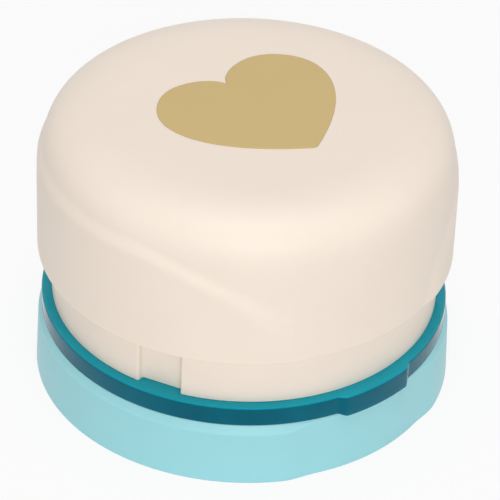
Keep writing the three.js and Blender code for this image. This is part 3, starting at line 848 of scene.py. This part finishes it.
def notched_circle(radius, angle, half_width, floor, edge):
    """Counter-clockwise circle with two flat-bottomed notches, at plus and minus an angle, edges rounded.

    Between notches the points follow the circle, a small pad off the notch. A notch is four corners: wall,
    floor, floor, wall. The walls draw in a little more than the radius does, so that every point has an angle
    of its own.
    """
    lip = math.sqrt(radius**2 - half_width**2)
    foot = half_width * floor / lip * WALL_DRAW
    off = math.asin(half_width / radius) + NOTCH_PAD
    notch = np.array([(-half_width, lip), (-foot, floor), (foot, floor), (half_width, lip)])
    corners, cuts = [], []
    for centre, start, end in ((-angle, -angle, angle), (angle, angle, 2 * np.pi - angle)):
        side = np.array([math.cos(centre), math.sin(centre)])
        out = np.array([math.sin(centre), -math.cos(centre)])
        corners += [u * side + v * out for u, v in notch]
        cuts += [edge] * 4
        arc = np.linspace(start + off, end - off, ARC_POINTS)
        corners += list(np.stack([np.sin(arc), -np.cos(arc)], axis=1) * radius)
        cuts += [0] * ARC_POINTS
    return softened(np.array(corners), cuts)


def smooth_step(value, start, end):
    """0 at start, 1 at end, eased as 3t^2 - 2t^3."""
    t = np.clip((value - start) / (end - start), 0, 1)
    return t * t * (3 - 2 * t)


# Cap


# How far the ceiling's shoulder comes down, as a share of the outer one
INNER_SHOULDER_SHARE = 0.5
# Columns round the cap, distance between the wall's rows, and rows of the dome
CAP_COLUMNS = 480
WALL_ROW = 0.26 * MM
DOME_ROWS = 66
# How much the crease's ridge is lightened, as wear and as a painted highlight, and the rim, as wear, and over
# what width
RIDGE_WEAR_AND_SHEEN = 0.15
RIDGE_WEAR_AND_SHEEN_WIDTH = 0.55 * MM
RIM_RUB = 0.8
RIM_RUB_WIDTH = 0.4 * MM


def shoulder_inset(cap, up):
    """How far the shoulder has come in at a share of its height: |x|^m + |z|^n = 1, m across and n up."""
    return cap.shoulder_run * (1 - (1 - up**cap.shoulder_up) ** (1 / cap.shoulder_across))


def dome_radius(cap, height):
    """Radius of the dome at a height: straight, then in with the shoulder."""
    up = np.clip((height - cap.top) / cap.shoulder_drop + 1, 0, 1)
    return cap.grip_radius - cap.grip_step - shoulder_inset(cap, up)


def crease(cap, angle):
    """Height, slope and width of the crease at an angle, and how far the band stands out under it.

    With s the share of the way from start to end, the fall from its full height is (1 - s^bend)^ease, and it
    runs on straight below the foot's share. Where it has fallen, it is wider and the band stands out less.
    """
    span = cap.crease_end - cap.crease_start
    part = (np.abs(angle) - cap.crease_start) / span
    along = np.clip(part, cap.crease_foot, 1)
    left = 1 - along**cap.crease_bend
    fall = left**cap.crease_ease
    bending = cap.crease_bend * along ** (cap.crease_bend - 1)
    rate = cap.crease_ease * left ** (cap.crease_ease - 1) * bending
    peak = cap.top - cap.crease_drop
    drop = peak - cap.rim
    height = peak - drop * (fall + np.maximum(cap.crease_foot - part, 0) * rate)
    slope = np.where(part < 1, drop * rate / (span * cap.grip_radius), 0)
    flare = fall**cap.crease_flare
    width = cap.crease_soft_back + (cap.crease_soft_front - cap.crease_soft_back) * flare
    return height, slope, width, cap.grip_step * (1 - cap.crease_fade * fall)


def cap_radius(cap, angle, height):
    """Radius of the cap, a dome whose band stands out below the crease, and the distance below the crease."""
    line, slope, width, raised = crease(cap, angle)
    below = (line - height) / np.hypot(1, slope)
    band = smooth_step(below, -width, 0)
    return dome_radius(cap, height) + raised * band, below


def inner_cap_profile(cap, bore, ceiling):
    """Radii and heights of the cap's inside, from the ceiling's middle down to the rim."""
    flat = np.linspace(0.1, 0.98, 6) * (bore - cap.shoulder_run)
    down = np.linspace(0, 1, 14) ** cap.shoulder_across
    shoulder = bore - shoulder_inset(cap, 1 - down)
    shoulder_height = ceiling - cap.shoulder_drop * INNER_SHOULDER_SHARE * down
    edge = cap.rim_round / 3
    radii = [flat, shoulder, [bore, bore, bore + edge]]
    heights = [np.full_like(flat, ceiling), shoulder_height, [cap.rim + 3 * edge, cap.rim + edge, cap.rim]]
    return np.concatenate(radii), np.concatenate(heights)


def outer_cap_rows(cap):
    """Heights of the cap's outside, from the rim up to the top, and how far the rim's rounding is inside."""
    bend = np.linspace(0, np.pi / 2, 6)
    foot = cap.rim + cap.rim_round * (1 - np.cos(bend))
    wall = np.arange(cap.rim + 1.5 * cap.rim_round, cap.top - cap.shoulder_bend, WALL_ROW)
    dome = cap.top - cap.shoulder_bend * np.linspace(1, 0, DOME_ROWS) ** cap.shoulder_across
    inside = np.concatenate([cap.rim_round * (1 - np.sin(bend)), np.zeros(len(wall) + len(dome))])
    return np.concatenate([foot, wall, dome]), inside


def cap_surface(cap):
    """Cap shell from the ceiling's middle, down the inner wall, round the rim, and up to the top's middle."""
    angle = full_turn(CAP_COLUMNS)
    ceiling = cap.top - cap.top_wall
    inner_radius, inner_height = inner_cap_profile(cap, cap.grip_radius - cap.grip_wall, ceiling)
    outer_height, inside = outer_cap_rows(cap)
    outer, below = cap_radius(cap, angle, outer_height[None, :])
    top_flat = np.linspace(0.99, 0.08, 9) * (cap.grip_radius - cap.grip_step - cap.shoulder_run)
    tile = np.ones((CAP_COLUMNS, 1))
    radii = np.concatenate([tile * inner_radius, outer - inside, tile * top_flat], axis=1)
    heights = np.concatenate([inner_height, outer_height, np.full_like(top_flat, cap.top)])
    points = upright(angle, radii, heights[None, :])
    mesh = closed_mesh("cap_skin", points, [[0, 0, ceiling], [0, 0, cap.top]])
    # Painted highlight with wear along the crease's ridge, and wear along the rim
    ridge_wear_and_sheen = RIDGE_WEAR_AND_SHEEN * wear_and_sheen_band(below, RIDGE_WEAR_AND_SHEEN_WIDTH) * (outer_height[None, :] > cap.rim)
    rim = RIM_RUB * wear_and_sheen_band(outer_height - cap.rim, RIM_RUB_WIDTH)[None, :]
    wear_and_sheen = np.zeros_like(radii)
    start = len(inner_radius)
    wear_and_sheen[:, start : start + len(outer_height)] = np.maximum(ridge_wear_and_sheen, rim)
    hold_wear_and_sheen(mesh, wear_and_sheen)
    return mesh


class PUNCH_OT_cap(bpy.types.Operator):
    """Build the push cap with its slide keys and screw posts"""

    bl_idname = "punch.cap"
    bl_label = "Push cap"

    def execute(self, context):
        cap = context.scene.punch_cap
        piece("cap_skin", cap_surface(cap), "push_cap", "cream_plastic", ["cap_shell"])
        ceiling = cap.top - cap.top_wall
        shape = (cap.post_radius, CARRIER_TOP, ceiling, cap.post_round, HOLE_LIP)
        for index in (1, 2, 3):
            bored_post(f"cap_post_{index}", f"cap_screw_{index}", "push_cap", "cream_plastic", *shape)
        self.build_keys(cap, context.scene.punch_sleeve.channel_angle)
        return {"FINISHED"}

    def build_keys(self, cap, channel_angle):
        """The two keys are upright blocks between the channel's floor and the cap's wall."""
        inner = -cap.key_inside
        outer = cap.grip_wall - cap.grip_radius - cap.key_sink
        half = cap.key_width / 2
        corners = np.array([(-half, outer), (half, outer), (half, inner), (-half, inner)])
        block = softened(corners, [cap.key_round] * 4)
        foot = cap.rim + cap.key_rise
        for index, angle in enumerate((-channel_angle, channel_angle)):
            spin = np.array([[math.cos(angle), -math.sin(angle)], [math.sin(angle), math.cos(angle)]])
            outline = block @ spin.T
            name = f"cap_key_{index + 1}"
            mesh = prism(name, outline, foot, foot + cap.key_length, cap.key_edge, outline.mean(axis=0))
            piece(name, mesh, "push_cap", "cream_plastic")


class PUNCH_OT_heart(bpy.types.Operator):
    """Build the heart printed on the cap"""

    bl_idname = "punch.heart"
    bl_label = "Printed heart"

    def execute(self, context):
        cap = context.scene.punch_cap
        corner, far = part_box("heart_foil")
        middle = (cap.heart_shift, cap.heart_back)
        outline = heart_outline(cap.heart_width, *middle)
        mesh = prism("heart_print", outline, corner.z, far.z, cap.heart_edge, middle)
        piece("heart_print", mesh, "push_cap", "gold_print", ["heart_foil"])
        return {"FINISHED"}


# Sleeve


# Rows of the deck and of its underside, as shares of their radii
DECK_ROW_SHARES = (0.2, 0.5, 0.8, 0.98)
CEILING_ROW_SHARES = (0.9, 0.5, 0.2)


def sleeve_surface(sleeve):
    """Sleeve from the deck's middle, over its chamfer, down the outside, and up inside to its underside.

    Each row is the outer or the inner plan outline, held inside a limiting radius and moved in by a rounding.
    """
    angle, edge = sleeve.channel_angle, sleeve.edge
    bore = sleeve.radius - sleeve.wall
    outer = notched_circle(sleeve.radius, angle, sleeve.channel_width / 2, sleeve.channel_floor, edge)
    inner = notched_circle(bore, angle, sleeve.pad_width / 2, sleeve.pad_floor, edge / 2)
    foot = RING_TOP + sleeve.lift
    underside = DECK_TOP - sleeve.deck_thickness
    rows = []

    def add(plan, height, limit=None, move=0.0):
        """Adds a row of the plan outline at a height."""
        flat = inset(plan, move)
        reach = np.linalg.norm(flat, axis=1, keepdims=True)
        if limit is not None:
            flat = flat * np.minimum(1, limit / reach)
        rows.append(np.column_stack([flat, np.full(len(flat), height)]))

    for part in DECK_ROW_SHARES:
        add(outer, DECK_TOP, part * (sleeve.radius - sleeve.deck_edge))
    for part in np.linspace(0, 1, 9):
        add(outer, DECK_TOP - sleeve.deck_edge * part, sleeve.radius - sleeve.deck_edge * (1 - part))
    for height in np.linspace(DECK_TOP - 1.05 * sleeve.deck_edge, foot + 2 * sleeve.foot_round, 12):
        add(outer, height)
    for bend in np.linspace(0, np.pi / 2, 6):
        rise = sleeve.foot_round * (1 - math.sin(bend))
        add(outer, foot + rise, move=sleeve.foot_round * (1 - math.cos(bend)))
    add(inner, foot, move=-sleeve.foot_round / 2)
    add(inner, foot + sleeve.foot_round / 2)
    for height in np.linspace(foot + sleeve.foot_round, underside, 6):
        add(inner, height)
    for part in CEILING_ROW_SHARES:
        add(inner, underside, part * sleeve.pad_floor)
    points = np.stack(rows, axis=1)
    return closed_mesh("sleeve_skin", points, [[0, 0, DECK_TOP], [0, 0, underside]])


class PUNCH_OT_sleeve(bpy.types.Operator):
    """Build the fixed sleeve with its deck, channels and screw columns"""

    bl_idname = "punch.sleeve"
    bl_label = "Sleeve"

    def execute(self, context):
        sleeve = context.scene.punch_sleeve
        underside = DECK_TOP - sleeve.deck_thickness
        cutters = []
        for index in (1, 2, 3):
            place = plan_middle(f"cap_screw_{index}")
            cutters.append(rod(sleeve.post_hole, underside - OVERRUN, DECK_TOP + OVERRUN, *place))
        mesh = carved(sleeve_surface(sleeve), cutters)
        piece("sleeve_skin", mesh, "head", "cream_plastic", ["body_sleeve"])
        shape = (sleeve.column_radius, RING_TOP + sleeve.lift, underside, sleeve.column_round)
        for index in (1, 2, 3, 4):
            bored_post(f"sleeve_column_{index}", f"body_screw_{index}", "head", "cream_plastic", *shape)
        return {"FINISHED"}


# Ring


# Angle past the ends of the tab's flanks over which their own columns reach
FLANK_MARGIN = 0.02


def ring_surface(ring, outside):
    """Clear ring: a closed profile at each angle, with the tab outside and the guide plate's seat below.

    The tab's radius runs from the ring's to the base's between the two tab angles, eased at both ends, and
    the tab's foot slants down over the base's edge. The tab's flanks have columns of their own.
    """
    flank = np.linspace(ring.tab_angle - FLANK_MARGIN, ring.tab_foot + FLANK_MARGIN, 21)
    middle = ring.tab_turn
    angles = np.unique(np.concatenate([full_turn(600)[:, 0], middle + flank, middle - flank]))[:, None]
    tab = 1 - smooth_step(np.abs(angles - middle), ring.tab_angle, ring.tab_foot)
    edge = ring.radius + (outside - ring.radius) * tab
    step = ring.radius - ring.tab_step
    seat = round_square(angles, PLATE_HALF + ring.seat_play, ring.corner + ring.seat_play)
    foot = BASE_TOP + ring.lift
    tab_low = foot - ring.tab_drop * tab
    radii = [ring.bore, seat, seat, step, edge, edge, ring.bore]
    heights = [GUIDE_SEAT, GUIDE_SEAT, foot, foot, tab_low, RING_TOP, RING_TOP]
    cuts = [ring.edge, 0, ring.edge, 0, ring.edge, ring.bevel, ring.edge]
    return closed_mesh("ring_clear", upright(angles, *swept_profile(angles, radii, heights, cuts)))


class PUNCH_OT_ring(bpy.types.Operator):
    """Build the clear ring with its tab and the magnets' pockets"""

    bl_idname = "punch.ring"
    bl_label = "Clear ring"

    def execute(self, context):
        ring = context.scene.punch_ring
        hole = context.scene.punch_hardware.hole
        base = context.scene.punch_base
        floor = BASE_TOP + ring.pocket_floor
        above = RING_TOP + OVERRUN
        cutters = []
        for index in (1, 2, 3, 4):
            cutters.append(rod(ring.pocket_radius, floor, above, *plan_middle(f"ring_magnet_{index}")))
            cutters.append(rod(hole, GUIDE_SEAT - OVERRUN / 2, above, *plan_middle(f"body_screw_{index}")))
        mesh = carved(ring_surface(ring, base.radius - base.draft / 2), cutters)
        piece("ring_clear", mesh, "head", "clear_teal", ["guide_ring"])
        return {"FINISHED"}


# Base


# Height of the rubbed band at the foot, widths of that band and of the painted highlight along the slope's
# foot, and how far in they reach as a share of the draft and the slope
FOOT_RUB_HEIGHT = 0.2 * MM
FOOT_RUB_WIDTH = 0.5 * MM
CREST_HIGHLIGHT_WIDTH = 0.28 * MM
WEAR_AND_SHEEN_REACH_SHARE = 1.2


def base_surface(base, ring):
    """Base: a closed profile at each angle, through the chute, the ledge, the wall, the foot and the top.

    The wall draws in by the draft on its way up, and a slope leads from it to the top. The wall is set back
    at the front by the panel's inset, eased over the blend's angle, and the slope is narrower there. The die
    plate's seat and ledge are squares with round corners.
    """
    angles = full_turn(720)
    panel = 1 - smooth_step(np.abs(angles), base.panel_angle, base.panel_angle + base.panel_blend)
    wall = base.radius - base.panel_inset * panel
    seat = round_square(angles, PLATE_HALF + ring.seat_play, ring.corner + ring.seat_play)
    grow = ring.seat_play + base.ledge_width
    ledge = round_square(angles, PLATE_HALF + grow, ring.corner + grow)
    bore = ring.bore
    chute = bore + base.chute_wall
    inside = wall - base.wall
    slope_share = 1 - base.panel_narrowing * panel
    upper = wall - base.draft
    crest = upper - base.slope_run * slope_share
    radii = [bore, chute, chute, ledge, ledge, inside, inside, wall, upper, crest, seat, seat, bore]
    underside = PLATE_SEAT - base.ledge_thickness
    deck = BASE_TOP - base.deck_thickness
    slope_foot = BASE_TOP - base.slope_drop * slope_share
    heights = [COVER_TOP, COVER_TOP, underside, underside, deck, deck, 0, 0, slope_foot]
    heights += [BASE_TOP, BASE_TOP, PLATE_SEAT, PLATE_SEAT]
    edge = base.edge
    cuts = [edge, edge, 0, edge, 0, edge, edge, base.foot_round, base.top_round, edge, edge, 0, edge]
    radius, height = swept_profile(angles, radii, heights, cuts, steps=9)
    mesh = closed_mesh("base_skin", upright(angles, radius, height))
    foot_rub = wear_and_sheen_band(height - FOOT_RUB_HEIGHT, FOOT_RUB_WIDTH)
    # Painted highlight along the slope's lower edge; the band at the foot is wear
    crest_highlight = wear_and_sheen_band(height - slope_foot, CREST_HIGHLIGHT_WIDTH)
    outside = radius > wall - WEAR_AND_SHEEN_REACH_SHARE * (base.draft + base.slope_run)
    hold_wear_and_sheen(mesh, np.maximum(foot_rub, crest_highlight) * outside)
    return mesh


class PUNCH_OT_base(bpy.types.Operator):
    """Build the loose base with its chute, cups and bosses, and the cover under it"""

    bl_idname = "punch.base"
    bl_label = "Base and cover"

    def execute(self, context):
        base = context.scene.punch_base
        ring = context.scene.punch_ring
        hardware = context.scene.punch_hardware
        piece("base_skin", base_surface(base, ring), "base", "aqua_plastic", ["base_shell"])
        deck = BASE_TOP - base.deck_thickness
        shape = (hardware.hole + base.boss_wall, COVER_TOP, deck, base.boss_round, HOLE_LIP)
        for index in (1, 2, 3, 4):
            self.build_cup(index, base, ring.pocket_radius, deck)
            bored_post(f"cover_boss_{index}", f"cover_screw_{index}", "base", "aqua_plastic", *shape)
        self.build_cover(base, ring.bore, hardware)
        return {"FINISHED"}

    def build_cup(self, index, base, bore, deck):
        """A round wall under the deck holds each magnet."""
        node = f"base_magnet_{index}"
        foot = low(node).z
        wide = bore + base.cup_wall
        corners = [(bore, foot), (wide, foot), (wide, deck), (bore, deck)]
        cuts = [base.boss_round, base.boss_round, 0, 0]
        cup = turned(f"magnet_cup_{index}", corners, cuts, *plan_middle(node))
        piece(f"magnet_cup_{index}", cup, "base", "aqua_plastic")

    def build_cover(self, base, bore, hardware):
        """The cover is a flat ring with four countersunk holes."""
        corners = [(bore, COVER_LOW), (COVER_RADIUS, COVER_LOW), (COVER_RADIUS, COVER_TOP), (bore, COVER_TOP)]
        cuts = [base.outlet_round, base.cover_round, base.cover_edge, base.cover_edge]
        cover = turned("cover_skin", corners, cuts, columns=240)
        sink, hole = hardware.sink, hardware.hole
        below, above = COVER_LOW - OVERRUN, COVER_TOP + OVERRUN
        profile = [
            (0, below),
            (sink, below),
            (sink, COVER_LOW),
            (hole, COVER_LOW + hardware.head_height),
            (hole, above),
            (0, above),
        ]
        nodes = [f"cover_screw_{index}" for index in (1, 2, 3, 4)]
        cutters = [turned_solid("sink", profile, [0] * 6, *plan_middle(node)) for node in nodes]
        piece("cover_skin", carved(cover, cutters), "base", "aqua_plastic", ["bottom_cover"])


# Hardware


# Cross recess: how much shallower it is at its ends, and the widths of its lip and wall
RECESS_TAPER = 0.55
RECESS_LIP = 0.04 * MM
RECESS_WALL = 0.14 * MM
# Head: its dome as a share of its height, its rim, and the neck under it as shares of the core
HEAD_DOME_SHARE = 0.16
HEAD_RIM = 0.06 * MM
SUNK_NECK_SHARE = 1.1
FLAT_NECK_SHARE = 1.2
# Thread: the plain neck before it, where it starts, the run in which it rises and fades, how much it fades,
# how pointed it is, and its rows to a pitch
NECK = 0.1 * MM
THREAD_START = 0.3 * MM
THREAD_RUN = 0.8 * MM
THREAD_FADE = 0.6
THREAD_POINT = 2.2
THREAD_ROWS = 12
# Tip: its length, the radii of its rows as shares of the core, and their distances from its end
TIP_LENGTH = 0.9 * MM
TIP_RADIUS_SHARES = (0.62, 0.35, 0.1)
TIP_DISTANCES = (0.5 * MM, 0.2 * MM, 0.02 * MM)


def cross_depth(x, y, sizes):
    """Depth of a cross recess at a point of the head: two tapered slots that deepen towards the middle."""
    across, along = np.abs(x), np.abs(y)
    slot = np.maximum(
        np.minimum(sizes.recess_width - across, sizes.recess_length - along),
        np.minimum(sizes.recess_width - along, sizes.recess_length - across),
    )
    centre = 1 - RECESS_TAPER * np.hypot(x, y) / sizes.recess_length
    return sizes.recess_depth * smooth_step(slot, -RECESS_LIP, RECESS_WALL) * centre


def head_side(head, sunk, sizes):
    """Radii and heights of a screw head's side, from its face: a cone where it is sunk, or a low cylinder."""
    rim, height = HEAD_RIM, sizes.head_height
    if sunk:
        return [head - rim, head, head - rim / 3, sizes.core * SUNK_NECK_SHARE], [0, rim, 2.5 * rim, height]
    radii = [head - 2 * rim, head, head, head - rim, sizes.core * FLAT_NECK_SHARE]
    return radii, [2 * rim, 5 * rim, height - rim, height, height]


def thread_radius(height, angle, reach, sizes):
    """Radius of the threaded shank: core + (crest - core) * w, w a raised wave of z / pitch - angle / turn.

    The wave runs in under the head and fades towards the tip.
    """
    wave = 0.5 + 0.5 * np.cos(2 * np.pi * height / sizes.pitch - angle)
    start = sizes.head_height + THREAD_START
    end = reach - TIP_LENGTH
    run_in = smooth_step(height, start, start + THREAD_RUN)
    run_out = 1 - smooth_step(height, end - THREAD_RUN, end) * THREAD_FADE
    return sizes.core + (sizes.shank - sizes.core) * wave**THREAD_POINT * run_in * run_out


def screw_surface(name, node, sunk, head_up, sizes):
    """Screw along Z: a head with a cross recess, then a shank whose thread is a helix, then a cone.

    It is worked out with its head at nothing and its tip up, and turned over where the head is up.
    """
    corner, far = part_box(node)
    x, y = plan_middle(node)
    head = (far.x - corner.x) / 2
    reach = far.z - corner.z
    angle = full_turn(56)
    face = np.linspace(0.06, 0.93, 17) * head
    crown = 0 if sunk else HEAD_DOME_SHARE * sizes.head_height
    recess = cross_depth(face * np.sin(angle), face * np.cos(angle), sizes)
    side_radius, side_height = head_side(head, sunk, sizes)
    shank = np.arange(sizes.head_height + NECK, reach - TIP_LENGTH, sizes.pitch / THREAD_ROWS)
    thread = thread_radius(shank, angle, reach, sizes)
    tip_radius = np.array(TIP_RADIUS_SHARES) * sizes.core
    tip_height = reach - np.array(TIP_DISTANCES)
    tile = np.ones((len(angle), 1))
    radii = [tile * face, tile * side_radius, thread, tile * tip_radius]
    heights = [recess + crown * (face / head) ** 2, tile * side_height, tile * shank, tile * tip_height]
    points = upright(angle, np.concatenate(radii, axis=1), np.concatenate(heights, axis=1))
    poles = np.array([[0, 0, sizes.recess_depth], [0, 0, reach]])
    over = np.array([1, -1, -1]) if head_up else np.ones(3)
    spot = np.array([x, y, far.z if head_up else corner.z])
    return closed_mesh(name, points * over + spot, poles * over + spot, sharp=50)


# For each kind of screw: how many, the body it rides on, whether its head is sunk, and whether it is up
SCREWS = (
    ("die_screw", 4, "base", False, False),
    ("cover_screw", 4, "base", True, False),
    ("body_screw", 4, "head", True, False),
    ("cap_screw", 3, "push_cap", False, False),
    ("punch_screw", 2, "push_cap", False, True),
)


class PUNCH_OT_screws(bpy.types.Operator):
    """Build every screw with its cross recess and thread"""

    bl_idname = "punch.screws"
    bl_label = "Screws"

    def execute(self, context):
        sizes = context.scene.punch_hardware
        for kind, count, body, sunk, head_up in SCREWS:
            for index in range(1, count + 1):
                node = f"{kind}_{index}"
                mesh = screw_surface(f"fine_{node}", node, sunk, head_up, sizes)
                piece(f"fine_{node}", mesh, body, "screw", [node])
        return {"FINISHED"}


class PUNCH_OT_magnets(bpy.types.Operator):
    """Build the disc magnets"""

    bl_idname = "punch.magnets"
    bl_label = "Magnets"

    def execute(self, context):
        edge = context.scene.punch_hardware.magnet_edge
        for body, kind in (("head", "ring_magnet"), ("base", "base_magnet")):
            for index in (1, 2, 3, 4):
                node = f"{kind}_{index}"
                corner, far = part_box(node)
                radius = max(far.x - corner.x, far.y - corner.y) / 2
                corners = [(0, corner.z), (radius, corner.z), (radius, far.z), (0, far.z)]
                cuts = [0, edge, edge, 0]
                disc = turned_solid(f"fine_{node}", corners, cuts, *plan_middle(node), columns=72)
                piece(f"fine_{node}", disc, body, "magnet", [node])
        return {"FINISHED"}


# Rows to a turn, length of the wire's domed end as a share of its thickness, and the least that is left there
COIL_ROWS = 72
WIRE_END_SHARE = 0.3
WIRE_END_LEAST = 0.05


def coil_surface(name, radius, wire, bottom, top, turns):
    """Spring wire: a circle carried along a helix, at right angles to it, with domed ends.

    The circle's two axes are the way out from the helix's axis, and the upright tilted back by the helix's
    slope.
    """
    part = np.linspace(0, 1, int(turns * COIL_ROWS))[None, :, None]
    spin = part * turns * 2 * np.pi
    around = full_turn(20)[..., None]
    tilt = math.atan2(top - bottom, turns * 2 * np.pi * radius)
    upwards = np.array([0, 0, 1])
    out = np.concatenate([np.cos(spin), np.sin(spin), 0 * spin], axis=-1)
    along = np.concatenate([-np.sin(spin), np.cos(spin), 0 * spin], axis=-1)
    up = upwards * math.cos(tilt) - along * math.sin(tilt)
    line = out * radius + upwards * (bottom + (top - bottom) * part)
    end = np.clip(np.minimum(spin, spin[:, -1:] - spin) * radius / (WIRE_END_SHARE * wire), 0, 1)
    size = wire / 2 * np.sqrt(np.maximum(end * (2 - end), WIRE_END_LEAST))
    points = line + (out * np.cos(around) + up * np.sin(around)) * size
    return closed_mesh(name, points, [line[0, 0], line[0, -1]])


class PUNCH_OT_spring(bpy.types.Operator):
    """Build the return spring as a fixed coil; the real one shortens as the cap is pressed"""

    bl_idname = "punch.spring"
    bl_label = "Return spring"

    def execute(self, context):
        sizes = context.scene.punch_hardware
        corner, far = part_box("return_spring")
        radius = (far.x - corner.x - sizes.wire) / 2
        half = sizes.wire / 2
        mesh = coil_surface("spring_coil", radius, sizes.wire, corner.z + half, far.z - half, sizes.coils)
        spring = piece("spring_coil", mesh, "head", "spring_steel", ["return_spring"])
        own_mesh(spring)
        return {"FINISHED"}


class PUNCH_OT_steel(bpy.types.Operator):
    """Give the plates, the punch and its carrier their finishes"""

    bl_idname = "punch.steel"
    bl_label = "Plates and punch"

    def execute(self, context):
        slots = {
            "die_plate": "tool_steel",
            "guide_plate": "tool_steel",
            "heart_punch": "tool_steel",
            "punch_carrier": "white_plastic",
        }
        for node, slot in slots.items():
            shown = frame["nodes"][node]
            shown.data.materials.clear()
            shown.data.materials.append(finish_of(slot))
        return {"FINISHED"}


# Stage


SEEN_RAYS = ("Is Camera Ray", "Is Glossy Ray", "Is Transmission Ray")
WHITE = (1, 1, 1, 1)


def seen_directly(paint):
    """1 for what the camera sees directly, in a mirror or through glass, and 0 for light on its way."""
    camera, glossy, through = (paint.node("ShaderNodeLightPath", output=name) for name in SEEN_RAYS)
    return camera + glossy + through > 0.5


class PUNCH_OT_stage(bpy.types.Operator):
    """Set the floor, the lamps, the world and the camera"""

    bl_idname = "punch.stage"
    bl_label = "Stage"

    def execute(self, context):
        stage = context.scene.punch_stage
        self.build_floor(stage)
        self.build_world(context, stage)
        self.build_lamp("front", stage, stage.front_elevation, stage.front_power)
        self.build_lamp("top", stage, stage.top_elevation, stage.top_power)
        self.build_camera(context, stage)
        context.scene.view_settings.view_transform = "Standard"
        return {"FINISHED"}

    def build_floor(self, stage):
        """A flat pale floor under the punch."""
        half = stage.floor_size / 2
        mesh = bpy.data.meshes.new("floor")
        corners = [(-half, -half, 0), (half, -half, 0), (half, half, 0), (-half, half, 0)]
        mesh.from_pydata(corners, [], [(0, 1, 2, 3)])
        floor = bpy.data.objects.new("floor", mesh)
        bpy.context.scene.collection.objects.link(floor)
        paint = Paint("floor")
        plain = paint.node("ShaderNodeBsdfDiffuse", inputs={"Color": shade(stage.floor, 1)})
        glow = paint.node("ShaderNodeEmission", inputs={"Color": WHITE, "Strength": 1.0})
        factor = seen_directly(paint) * stage.floor_glow
        both = paint.node("ShaderNodeMixShader", inputs={0: factor, 1: plain, 2: glow})
        mesh.materials.append(paint.finish(both))

    def build_world(self, context, stage):
        """White all round for the camera, and an even light of a set strength on the object."""
        paint = Paint("studio", bpy.data.worlds.new("studio"))
        level = seen_directly(paint) * (1 - stage.ambient) + stage.ambient
        light = paint.node("ShaderNodeBackground", inputs={"Color": WHITE, "Strength": level})
        context.scene.world = paint.finish(light, "ShaderNodeOutputWorld")

    def build_lamp(self, name, stage, elevation, power):
        """A round soft lamp aimed at the punch, beside the camera's direction."""
        lamp = bpy.data.lights.new(name, "AREA")
        lamp.energy = power
        lamp.shape = "DISK"
        lamp.size = stage.lamp_size
        made = bpy.data.objects.new(name, lamp)
        bpy.context.scene.collection.objects.link(made)
        azimuth = stage.azimuth + stage.lamp_azimuth
        made.matrix_world = aimed(azimuth, elevation, stage.lamp_distance, stage.look_height)

    def build_camera(self, context, stage):
        """The camera looks down at the punch from its front left."""
        data = bpy.data.cameras.new("camera")
        data.lens = stage.lens
        data.sensor_width = 36
        data.clip_start = 0.01
        data.clip_end = 100
        camera = bpy.data.objects.new("camera", data)
        context.scene.collection.objects.link(camera)
        look = aimed(stage.azimuth, stage.elevation, stage.distance, stage.look_height)
        side = Matrix.Rotation(stage.azimuth, 4, "Z") @ Matrix.Translation((stage.side, 0, 0))
        straight = Matrix.Rotation(-stage.azimuth, 4, "Z")
        camera.matrix_world = side @ straight @ look @ Matrix.Rotation(stage.roll, 4, "Z")
        context.scene.camera = camera


def aimed(azimuth, elevation, distance, height):
    """Place and turn of something that looks at the axis from an angle, a distance and an elevation."""
    back = distance * math.cos(elevation)
    up = height + distance * math.sin(elevation)
    around = Matrix.Rotation(azimuth, 4, "Z") @ Matrix.Translation((0, -back, up))
    return around @ Matrix.Rotation(math.pi / 2 - elevation, 4, "X")


class PUNCH_PT_panel(bpy.types.Panel):
    """Sizes, finishes and operators of the punch"""

    bl_label = "Craft punch"
    bl_idname = "PUNCH_PT_panel"
    bl_space_type = "VIEW_3D"
    bl_region_type = "UI"
    bl_category = "Punch"

    def draw(self, context):
        for operator in OPERATORS:
            self.layout.operator(operator.bl_idname)
        for name, group in GROUPS.items():
            box = self.layout.box()
            box.label(text=group.__doc__)
            for key in group.__annotations__:
                box.prop(getattr(context.scene, name), key)


GROUPS = {
    "punch_cap": CapSizes,
    "punch_sleeve": SleeveSizes,
    "punch_ring": RingSizes,
    "punch_base": BaseSizes,
    "punch_hardware": HardwareSizes,
    "punch_finishes": Finishes,
    "punch_stage": StageSettings,
}

OPERATORS = (
    PUNCH_OT_cap,
    PUNCH_OT_heart,
    PUNCH_OT_sleeve,
    PUNCH_OT_ring,
    PUNCH_OT_base,
    PUNCH_OT_screws,
    PUNCH_OT_magnets,
    PUNCH_OT_spring,
    PUNCH_OT_steel,
    PUNCH_OT_stage,
)


def register():
    """Makes the groups, operators and panel known to Blender."""
    for group in GROUPS.values():
        bpy.utils.register_class(group)
    for name, group in GROUPS.items():
        setattr(bpy.types.Scene, name, PointerProperty(type=group))
    for operator in OPERATORS:
        bpy.utils.register_class(operator)
    bpy.utils.register_class(PUNCH_PT_panel)


def unregister():
    """Takes back all that register made known."""
    bpy.utils.unregister_class(PUNCH_PT_panel)
    for operator in reversed(OPERATORS):
        bpy.utils.unregister_class(operator)
    for name, group in GROUPS.items():
        delattr(bpy.types.Scene, name)
        bpy.utils.unregister_class(group)


def main():
    """Builds everything in order."""
    register()
    bpy.ops.punch.cap()
    bpy.ops.punch.heart()
    bpy.ops.punch.sleeve()
    bpy.ops.punch.ring()
    bpy.ops.punch.base()
    bpy.ops.punch.screws()
    bpy.ops.punch.magnets()
    bpy.ops.punch.spring()
    bpy.ops.punch.steel()
    bpy.ops.punch.stage()


if __name__ == "__main__":
    main()
